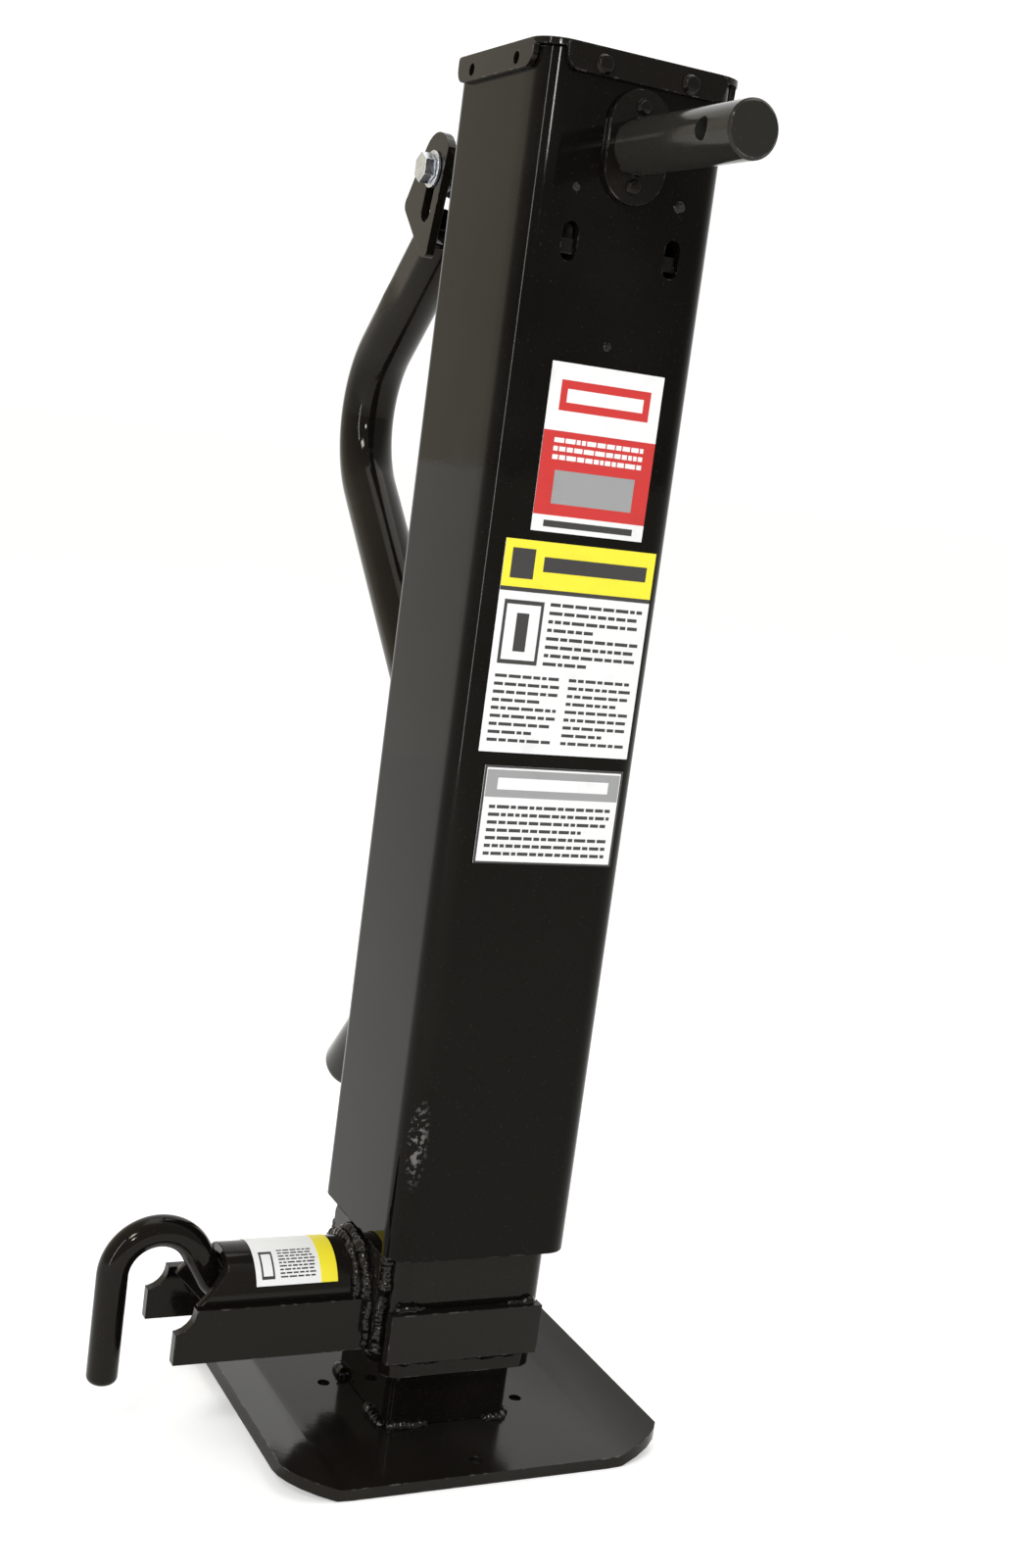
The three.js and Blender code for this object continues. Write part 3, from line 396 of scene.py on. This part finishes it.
def painted_mesh(name, shapes):
    """A flat-faced mesh of several closed shapes; each shape is (vertices, faces, material)."""
    vertices, faces, choice, materials = [], [], [], []
    for more_vertices, more_faces, material in shapes:
        merge(vertices, faces, more_vertices, more_faces)
        if material not in materials:
            materials.append(material)
        choice += [materials.index(material)] * len(more_faces)
    mesh = bpy.data.meshes.new(name)
    mesh.from_pydata([tuple(v) for v in vertices], [], faces)
    for material in materials:
        mesh.materials.append(material)
    mesh.polygons.foreach_set("material_index", choice)
    outward(mesh)
    return mesh


def skin(rings, closed_rings=False):
    """Faces over a list of rings that all have the same number of points, ends capped."""
    count = len(rings[0])
    vertices = [point for ring in rings for point in ring]
    faces = []
    last = len(rings) if closed_rings else len(rings) - 1
    for i in range(last):
        here, there = i * count, (i + 1) % len(rings) * count
        for k in range(count):
            after = (k + 1) % count
            faces.append((here + k, here + after, there + after, there + k))
    if not closed_rings:
        faces.append(tuple(range(count)))
        faces.append(tuple(last * count + k for k in range(count)))
    return vertices, faces


def sweep(points, radii, sides, shape=None, closed=False):
    """Rings of a round section carried along points; radii is a number or one per point."""
    points = [Vector(p) for p in points]
    if isinstance(radii, (int, float)):
        radii = [radii] * len(points)
    side = None
    rings = []
    for i, point in enumerate(points):
        before = points[i - 1] if closed or i else points[0]
        after = points[(i + 1) % len(points)] if closed or i < len(points) - 1 else points[-1]
        along = (after - before).normalized()
        if side is None:
            side = along.orthogonal().normalized()
        side = (side - along * side.dot(along)).normalized()
        other = along.cross(side)
        ring = []
        for k in range(sides):
            angle = 2 * math.pi * k / sides
            ring.append(point + radii[i] * (math.cos(angle) * side + math.sin(angle) * other))
        rings.append([shape(i, p) for p in ring] if shape else ring)
    return rings


def domed(points, radius, steps=5):
    """Rounds the far end of a bar: returns its points and radii with a short dome at the last point."""
    points = [Vector(p) for p in points]
    way = (points[-1] - points[-2]).normalized()
    dome = 0.5 * radius
    tail = points.pop() - way * dome
    radii = [radius] * len(points)
    for k in range(steps + 1):
        angle = 0.5 * math.pi * k / steps
        points.append(tail + way * dome * math.sin(angle))
        radii.append(radius * (0.45 + 0.55 * math.cos(angle)))
    return points, radii


def bent_line(corners, radius, steps):
    """Straight runs between corners, rounded to one radius."""
    corners = [Vector(c) for c in corners]
    line = [corners[0]]
    for before, corner, after in zip(corners, corners[1:], corners[2:]):
        into, out = (corner - before).normalized(), (after - corner).normalized()
        turn = into.angle(out)
        centre = corner + (out - into).normalized() * radius / math.cos(turn / 2)
        start = corner - into * radius * math.tan(turn / 2) - centre
        axis = into.cross(out).normalized()
        line += [centre + Matrix.Rotation(turn * k / steps, 3, axis) @ start for k in range(steps + 1)]
    return line + [corners[-1]]


def bead(name, body, points, radius, closed=False, seed=1):
    """A painted weld bead: overlapping ripples, lumps, a wandering line and a little spatter beside it."""
    rng = random.Random(seed)
    points = [Vector(p) for p in points]
    if closed:
        points.append(points[0])
    line = []
    for start, end in zip(points, points[1:]):
        count = max(2, round((end - start).length / RIPPLE_STEP))
        line += [start.lerp(end, k / count) for k in range(count)]
    if not closed:
        line.append(points[-1])
    radii, path = [], []
    for i, point in enumerate(line):
        drift = 2.2 * noise.noise(point * 90 + Vector((0, 0, seed)))
        scallop = abs(math.sin(math.pi * i * RIPPLE_STEP / RIPPLE_PITCH + drift)) ** 0.6
        lump = noise.noise(point * 150 + Vector((seed, 0, 0)))
        size = radius * (0.76 + 0.16 * scallop + 0.5 * lump)
        if not closed:
            ends = min(i, len(line) - 1 - i) * RIPPLE_STEP / radius
            size *= min(1.0, 0.3 + 0.7 * math.sqrt(ends))
        radii.append(size)
        path.append(point + noise.noise_vector(point * 120 + Vector((0, seed, 0))) * MM)

    def knobbly(ring, point):
        return point + noise.noise_vector(point * 380) * 0.16 * radius

    vertices, faces = skin(sweep(path, radii, 14, shape=knobbly, closed=closed), closed)
    for _ in range(len(line) // SPATTER_SPACING):
        centre = rng.choice(line) + 1.1 * radius * Vector([rng.uniform(-1, 1) for _ in range(3)])
        add_ball(vertices, faces, centre, rng.uniform(0.3, 0.8) * MM)
    return piece(name, mesh_from(name, vertices, faces, 60), body, weld_paint, "black_paint")


def add_ball(vertices, faces, centre, radius):
    """Adds a small eight-sided ball of spatter to a mesh in the making."""
    sides, levels = 8, 4
    rings = []
    for level in range(levels + 1):
        tilt = math.pi * (level + 0.15) / (levels + 0.3)
        turns = [2 * math.pi * k / sides for k in range(sides)]
        rings.append([centre + radius * Vector((math.sin(tilt) * math.cos(turn),
                                                math.sin(tilt) * math.sin(turn),
                                                math.cos(tilt))) for turn in turns])
    merge(vertices, faces, *skin(rings))


BOX_SIDES = ((0, 1, 3, 2), (4, 6, 7, 5), (0, 4, 5, 1), (2, 3, 7, 6), (0, 2, 6, 4), (1, 5, 7, 3))


def box_corners(low, high):
    """The eight corners of a box, in the order that BOX_SIDES counts them."""
    return [(x, y, z) for x in (low[0], high[0]) for y in (low[1], high[1]) for z in (low[2], high[2])]


def boxes(name, body, parts, slot, *replaced):
    """One piece made of closed boxes; each part is (low corner, high corner, material)."""
    shapes = [(box_corners(low, high), BOX_SIDES, material) for low, high, material in parts]
    return piece(name, painted_mesh(name, shapes), body, None, slot, *replaced)


# ---------------------------------------------------------------- crank handle

handle_radius = (handle_high.x - handle_low.x) / 2
handle_line = bent_line([(0, y, z) for y, z in HANDLE_CORNERS], HANDLE_BEND, 24)
handle_way = (handle_line[1] - handle_line[0]).normalized()
handle_across = Vector((0, -handle_way.z, handle_way.y))


def handle_points():
    """The handle's line with close points over its first run, where the tube is pressed flat."""
    first, second = handle_line[0], handle_line[1]
    run = [first.lerp(second, k / 16) for k in range(16)]
    return run + handle_line[1:]


def pressed(point):
    """Squeezes the tube's upper end to fit between the clevis plates."""
    reach = (point - handle_line[0]).length
    share = max(0.0, min(1.0, (reach - PRESSED_LENGTH) / PRESSED_EASE))
    share = share * share * (3 - 2 * share)
    limit = CLEVIS_INNER + (handle_radius - CLEVIS_INNER) * share
    return Vector((max(-limit, min(limit, point.x)), point.y, point.z))


def hollowed(ring_number, point):
    """Moves points of the tube's first rings down to the rim of the hollow that clears the shaft."""
    if ring_number > 3:
        return point
    from_centre = point - HOLLOW_CENTRE
    squared = HOLLOW_RADIUS ** 2 - from_centre.dot(handle_across) ** 2
    rim = math.sqrt(max(squared, 0.0)) + 0.4 * MM * ring_number
    return point + handle_way * max(0.0, rim - from_centre.dot(handle_way))


def mirrored_cap(ring, up):
    """Closes a ring that is mirrored left to right, with strips from each point to its mirror image."""
    count = len(ring)
    lowest = min(range(count), key=lambda k: ring[k].dot(up))
    pairs = [((lowest + k) % count, (lowest - k) % count) for k in range(count // 2 + 1)]
    strips = [(a, c, d, b) for (a, b), (c, d) in zip(pairs, pairs[1:])]
    return [tuple(dict.fromkeys(strip)) for strip in strips]


line, radii = domed(handle_points(), handle_radius)
rings = sweep(line, radii, HANDLE_SIDES, shape=lambda i, p: hollowed(i, pressed(p)))
vertices, faces = skin(rings)
faces[-2:-1] = mirrored_cap(rings[0], handle_across)
piece("handle_bar", mesh_from("handle_bar", vertices, faces), "handle", paint, "black_paint", "handle_tube")

# ---------------------------------------------------------------- pull pin

def pull_rod_line():
    """The rod leaves the tube level, bends up, and hooks over to a hanging grip."""
    rise = HOOK_RISE - SET_RADIUS
    reach = SET_START - HOOK_CENTRE.x
    slope = math.asin((HOOK_RADIUS + SET_RADIUS) / math.hypot(reach, rise)) - math.atan2(-rise, reach)
    line = [Vector((ROD_START, 0, pin_z))]
    for k in range(13):
        angle = slope * k / 12
        line.append(Vector((SET_START - SET_RADIUS * math.sin(angle), 0,
                            pin_z + SET_RADIUS * (1 - math.cos(angle)))))
    for k in range(41):
        angle = math.pi / 2 - slope + (math.pi / 2 + slope) * k / 40
        line.append(HOOK_CENTRE + HOOK_RADIUS * Vector((math.cos(angle), 0, math.sin(angle))))
    return line + [Vector((HOOK_CENTRE.x - HOOK_RADIUS, 0, pin_low.z))]


def circle_x(x, radius, count):
    """Points of a circle round the pin's axis."""
    return [Vector((x, radius * math.cos(a), pin_z + radius * math.sin(a)))
            for a in (2 * math.pi * k / count for k in range(count))]


line, radii = domed(pull_rod_line(), ROD_RADIUS)
vertices, faces = skin(sweep(line, radii, 32))
merge(vertices, faces, *skin([circle_x(x, share * PIN_RADIUS, 40) for x, share in PIN_NOSE]))
piece("pull_pin_rod", mesh_from("pull_pin_rod", vertices, faces), "pull_pin", paint, "black_paint",
      "pull_pin")

# ---------------------------------------------------------------- pin tube with its double-sloped mouth

def mouth_x(height):
    """Where the mouth's double slope lies at a height above or below the pin's axis."""
    share = min(1.0, abs(height) / MOUTH_RISE)
    return MOUTH_TIP + (MOUTH_ROOT - MOUTH_TIP) * share


def mouth_ring(radius, inset=0.0):
    """A ring of the tube that follows its mouth."""
    ring = circle_x(0, radius, TUBE_SIDES)
    return [Vector((mouth_x(point.z - pin_z) + inset, point.y, point.z)) for point in ring]


tube_rings = [circle_x(tube_high.x, TUBE_OUTER, TUBE_SIDES), mouth_ring(TUBE_OUTER, MOUTH_EASE),
              mouth_ring(TUBE_OUTER - MOUTH_EASE), mouth_ring(TUBE_INNER + MOUTH_EASE),
              mouth_ring(TUBE_INNER, MOUTH_EASE), circle_x(tube_high.x, TUBE_INNER, TUBE_SIDES)]
piece("pin_barrel", mesh_from("pin_barrel", *skin(tube_rings, closed_rings=True)), "ram", bar_paint,
      "black_paint", "pin_tube")

# ---------------------------------------------------------------- springs

def coil(axis, start, end, centre, radius, wire, turns):
    """Points of a helix along the X or Z axis, its end coils wound close."""
    points = []
    steps = int(turns * 20)
    for i in range(steps + 1):
        share = i / steps
        eased = share - 0.045 * math.sin(2 * math.pi * share)
        angle = 2 * math.pi * turns * share
        u, v = radius * math.cos(angle), radius * math.sin(angle)
        along = start + wire + (end - start - 2 * wire) * eased
        points.append(Vector((along, u, centre[2] + v)) if axis == "x"
                      else Vector((centre[0] + u, centre[1] + v, along)))
    return points


def spring(name, node, axis, radius, wire, turns, flip):
    """A wound spring that takes the place of a CAD spring node, along X or Z; its end points, swapped if
    flipped, are not used.
    """
    low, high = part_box(node)
    centre = (low + high) / 2
    start, end = (low.x, high.x) if axis == "x" else (low.z, high.z)
    wound = coil(axis, start, end, centre, radius, wire, turns)
    mesh = mesh_from(name, *skin(sweep(wound, wire, 10)))
    mesh.materials.append(spring_wire)
    obj = linked(name, mesh)
    first, last = centre.copy(), centre.copy()
    setattr(first, axis, start)
    setattr(last, axis, end)
    if flip:
        first, last = last, first
    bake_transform(obj)
    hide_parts(node)


spring("pin_coil", "pin_spring", "x", 12.7 * MM, 1.4 * MM, 6, False)
spring("return_coil", "return_spring", "z", 5.8 * MM, 0.9 * MM, 90, True)

# ---------------------------------------------------------------- welds

def rectangle(x, low, high, grow):
    """Corners of a box's outline seen along X, a little larger all round."""
    return [(x, low.y - grow, low.z - grow), (x, high.y + grow, low.z - grow),
            (x, high.y + grow, high.z + grow), (x, low.y - grow, high.z + grow)]


plate_x = doubler_low.x
bead("weld_tube_root", "ram", circle_x(plate_x - 1.5 * MM, TUBE_OUTER + 1.6 * MM, 72), 4.8 * MM, True, 3)
bead("weld_tube_cap", "ram", circle_x(plate_x - 6.4 * MM, TUBE_OUTER + 0.4 * MM, 72), 3.4 * MM, True, 4)
bead("weld_doubler", "ram", rectangle(ram_low.x - 1.0 * MM, doubler_low, doubler_high, 0.2 * MM),
     4.0 * MM, True, 5)
for side, tag in ((-1, "front"), (1, "rear")):
    outer_y = side * abs(arm_low.y)
    corner = [(plate_x - 1.2 * MM, outer_y, z) for z in (arm_low.z + 1 * MM, arm_high.z - 1 * MM)]
    bead(f"weld_arm_{tag}", "ram", corner, 2.6 * MM, seed=6)
    band_low, band_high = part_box(f"ram_band_{tag}")
    band_y = side * (abs(ram_low.y) + 0.6 * MM)
    for k, (x0, x1) in enumerate(BAND_WELDS):
        bead(f"weld_band_{tag}_top_{k}", "ram", [(x0, band_y, band_high.z), (x1, band_y, band_high.z)],
             3.3 * MM, seed=20 + k)
    seam = [(x, band_y, band_low.z - 0.6 * MM) for x in BAND_SEAM]
    bead(f"weld_band_{tag}_bottom", "ram", seam, 2.9 * MM, seed=24)

weld_z = foot_low.z + FOOT_THICK + 0.4 * MM
for side, tag in ((-1, "front"), (1, "rear")):
    near = side * (leg_high.x + 0.6 * MM)
    for k, (start, stop) in enumerate(FOOT_WELDS):
        bead(f"weld_foot_{tag}_{k}", "drop_leg", [(start, near, weld_z), (stop, near, weld_z)],
             4.0 * MM, seed=31 + k)
        bead(f"weld_foot_side_{tag}_{k}", "drop_leg", [(near, start, weld_z), (near, stop, weld_z)],
             4.0 * MM, seed=35 + k)

# Plug welds on the front face, left rough where the inner guides were fixed.
for k, (x, z, size) in enumerate(PLUG_WELDS):
    spiral = []
    for i in range(26):
        angle = 0.7 * i
        r = size * i / 40
        spiral.append((x + r * math.cos(angle), housing_low.y + 0.5 * MM, z + r * math.sin(angle)))
    bead(f"plug_weld_{k}", "housing", spiral, 1.5 * MM, seed=40 + k)

# Beads along the lower edges of the clevis plates, where they sit on the pressed end of the handle.
for side, tag in ((-1, "left"), (1, "right")):
    x = side * (CLEVIS_INNER + 0.9 * MM)
    bead(f"weld_clevis_{tag}", "handle", [(x, y, z) for y, z in CLEVIS_EDGE], 2.2 * MM, seed=50 + side)

# ---------------------------------------------------------------- labels

def flat_label(node, blocks, ground=white_film):
    """A front label with plain blocks; a block is (x0, x1, z0, z1, layer, material), places in shares."""
    low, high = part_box(node)
    width, height = high.x - low.x, high.z - low.z
    parts = [(low, high, ground)]
    for x0, x1, z0, z1, layer, material in blocks:
        y = low.y - INK * (layer + 1)
        parts.append(((low.x + x0 * width, y, low.z + z0 * height),
                      (low.x + x1 * width, low.y + 0.1 * MM, low.z + z1 * height), material))
    boxes(f"{node}_film", "housing", parts, "labels", node)


def text_bars(x0, x1, z_top, rows, pitch, thick, layer, material, seed):
    """Rows of short dark bars in place of lettering."""
    rng = random.Random(seed)
    bars = []
    for row in range(rows):
        z1 = z_top - row * pitch
        end = x1 if row % 4 != 3 else x0 + (x1 - x0) * rng.uniform(0.45, 0.8)
        x = x0
        while x < end - 0.02:
            stop = min(end, x + rng.uniform(0.03, 0.09))
            bars.append((x, stop, z1 - thick, z1, layer, material))
            x = stop + 0.012
    return bars


rating = [(0.0, 1.0, 0.10, 0.60, 0, red_film), (0.14, 0.86, 0.17, 0.37, 1, grey_film)]
rating += text_bars(0.1, 0.9, 0.56, 3, 0.05, 0.028, 1, white_film, 2)
rating += [(0.1, 0.9, 0.72, 0.90, 0, red_film), (0.16, 0.84, 0.77, 0.85, 1, white_film),
           (0.1, 0.9, 0.03, 0.07, 0, dark_film)]
flat_label("label_rating", rating)

instructions = [(0.0, 1.0, 0.78, 1.0, 0, yellow_film), (0.0, 1.0, 0.76, 0.78, 0, dark_film),
                (0.05, 0.2, 0.82, 0.96, 1, dark_film), (0.26, 0.95, 0.86, 0.93, 1, dark_film),
                (0.04, 0.30, 0.42, 0.72, 0, dark_film), (0.06, 0.28, 0.44, 0.70, 1, white_film),
                (0.13, 0.21, 0.48, 0.66, 2, dark_film)]
instructions += text_bars(0.34, 0.96, 0.72, 8, 0.04, 0.016, 0, dark_film, 5)
instructions += text_bars(0.04, 0.47, 0.37, 9, 0.038, 0.015, 0, dark_film, 6)
instructions += text_bars(0.53, 0.96, 0.37, 9, 0.038, 0.015, 0, dark_film, 7)
flat_label("label_instructions", instructions)

notice = [(0.02, 0.98, 0.68, 0.96, 0, grey_film), (0.1, 0.9, 0.76, 0.88, 1, white_film)]
notice += text_bars(0.06, 0.94, 0.6, 7, 0.08, 0.034, 0, dark_film, 8)
notice += [(0.0, 1.0, 0.0, 0.02, 0, dark_film), (0.0, 1.0, 0.98, 1.0, 0, dark_film),
           (0.0, 0.015, 0.02, 0.98, 0, dark_film), (0.985, 1.0, 0.02, 0.98, 0, dark_film)]
flat_label("label_notice", notice)


def curved_band(x0, x1, start, end, layer):
    """A closed strip round the pin tube, its angles in degrees."""
    inner = TUBE_OUTER + 0.1 * MM
    outer = TUBE_OUTER + FILM + INK * (layer + 1)
    steps = max(3, round((end - start) / 4))
    rings = []
    for k in range(steps + 1):
        angle = math.radians(start + (end - start) * k / steps)
        rings.append([Vector((x, r * math.cos(angle), pin_z + r * math.sin(angle)))
                      for x, r in ((x0, inner), (x1, inner), (x1, outer), (x0, outer))])
    return skin(rings)


# Each part of the wrapped label is (x0, x1, start, end, layer, material).
pin_parts = [(label_low.x, label_high.x, FILM_START, FILM_END, 0, white_film),
             (label_high.x - 9 * MM, label_high.x, FILM_START, FILM_END, 1, yellow_film),
             (label_low.x + 3 * MM, label_low.x + 10 * MM, 112, 150, 1, dark_film),
             (label_low.x + 4 * MM, label_low.x + 9 * MM, 116, 146, 2, white_film)]
rng = random.Random(12)
for row in range(9):    # rows of short bars in place of lettering
    start = 110 + row * 4.6
    x = label_low.x + 13 * MM
    while x < label_high.x - 13 * MM:
        stop = min(label_high.x - 11 * MM, x + rng.uniform(1.5, 4.0) * MM)
        pin_parts.append((x, stop, start, start + 2, 1, dark_film))
        x = stop + 0.7 * MM
bands = [(*curved_band(*part[:5]), part[5]) for part in pin_parts]
piece("label_pin_film", painted_mesh("label_pin_film", bands), "ram", None, "labels", "label_pin")

# ---------------------------------------------------------------- floor, lights and camera

def plain(name, colour, roughness, glow):
    """An even matt surface with a little light of its own, like a light table."""
    m = Nodes(name)
    soft = m.remap(m.noise(3.0, 3.0), 0.3, 0.7)
    return m.finish(m.mix(m.math("MULTIPLY", soft, 0.04), colour, tuple(0.9 * c for c in colour)),
                    roughness, 0.0, Emission_Color=(1.0, 1.0, 1.0, 1.0), Emission_Strength=glow)


bpy.ops.mesh.primitive_plane_add(size=80, location=(0, 0, foot_low.z - 0.0002))
floor = bpy.context.object
floor.name = "floor"
floor.data.materials.append(plain("floor_pale", (0.74, 0.74, 0.736), 0.8, glow=0.37))

world = bpy.data.worlds.new("studio")
bpy.context.scene.world = world
world.use_nodes = True
sky = world.node_tree
background = sky.nodes["Background"]
direction = sky.nodes.new("ShaderNodeSeparateXYZ")
sky.links.new(sky.nodes.new("ShaderNodeTexCoord").outputs["Generated"], direction.inputs[0])


def sky_mix(axis, low, high, first, second):
    """Goes from the first colour to the second as the view turns from low to high along an axis."""
    ramp = sky.nodes.new("ShaderNodeMapRange")
    ramp.interpolation_type = "SMOOTHSTEP"
    ramp.inputs["From Min"].default_value = low
    ramp.inputs["From Max"].default_value = high
    sky.links.new(direction.outputs[axis], ramp.inputs["Value"])
    mixed = sky.nodes.new("ShaderNodeMix")
    mixed.data_type = "RGBA"
    sky.links.new(ramp.outputs["Result"], mixed.inputs[0])
    for socket, colour in ((mixed.inputs[6], first), (mixed.inputs[7], second)):
        if isinstance(colour, tuple):
            socket.default_value = (*colour, 1.0)
        else:
            sky.links.new(colour, socket)
    return mixed.outputs[2]


HORIZON, ZENITH = (0.79, 0.79, 0.785), (0.95, 0.95, 0.94)
LEFT_SIDE, BEHIND_CAMERA = (0.59, 0.56, 0.49), (0.38, 0.38, 0.375)
open_side = sky_mix("Z", 0.02, 0.4, HORIZON, ZENITH)
lit_side = sky_mix("X", -0.3, 0.05, LEFT_SIDE, open_side)
sky.links.new(sky_mix("Y", -0.6, 0.2, BEHIND_CAMERA, lit_side), background.inputs["Color"])
background.inputs["Strength"].default_value = 1.3


def area_light(name, place, target, width, height, power, colour):
    """A rectangular lamp that looks at a target."""
    data = bpy.data.lights.new(name, "AREA")
    data.shape = "RECTANGLE"
    data.size, data.size_y = width, height
    data.energy = power
    data.color = colour
    obj = linked(name, data)
    obj.location = place
    obj.rotation_euler = (Vector(target) - Vector(place)).to_track_quat("-Z", "Y").to_euler()


area_light("key", (-1.6, -1.5, 2.2), (0, 0, 0.35), 0.5, 0.5, 26, (1.0, 0.98, 0.95))
area_light("corner_strip", (-1.9, -1.0, 0.75), (0, 0, 0.4), 0.10, 1.7, 13, (0.84, 0.91, 1.0))
area_light("side_panel", (-1.25, 1.75, 0.5), (0, 0, 0.35), 1.3, 1.6, 0.8, (1.0, 0.8, 0.4))
area_light("overhead", (0.2, 0.4, 2.4), (0, 0, 0.3), 1.6, 1.6, 12, (1.0, 1.0, 1.0))
area_light("flash", (-0.8, -1.45, 0.95), (0, 0, 0.25), 0.14, 0.14, 4.5, (0.9, 0.95, 1.0))

AZIMUTH, ELEVATION, ROLL = (math.radians(a) for a in (-26.713, 9.626, 7.661))
CAMERA_PLACE = Vector((-0.44247, -0.88743, 0.51041))
back = Vector((math.sin(AZIMUTH) * math.cos(ELEVATION), -math.cos(AZIMUTH) * math.cos(ELEVATION),
               math.sin(ELEVATION)))
right = Vector((math.cos(AZIMUTH), math.sin(AZIMUTH), 0))
up = back.cross(right)
turned_right = math.cos(ROLL) * right + math.sin(ROLL) * up
turned_up = -math.sin(ROLL) * right + math.cos(ROLL) * up
camera_data = bpy.data.cameras.new("camera")
camera_data.sensor_fit = "VERTICAL"
camera_data.sensor_height = 36.0
camera_data.lens = 45.05
camera_data.clip_start = 0.01
camera = linked("camera", camera_data)
axes = Matrix((turned_right, turned_up, back)).transposed()
camera.matrix_world = Matrix.Translation(CAMERA_PLACE) @ axes.to_4x4()
bpy.context.scene.camera = camera
bpy.context.scene.view_settings.view_transform = "Standard"
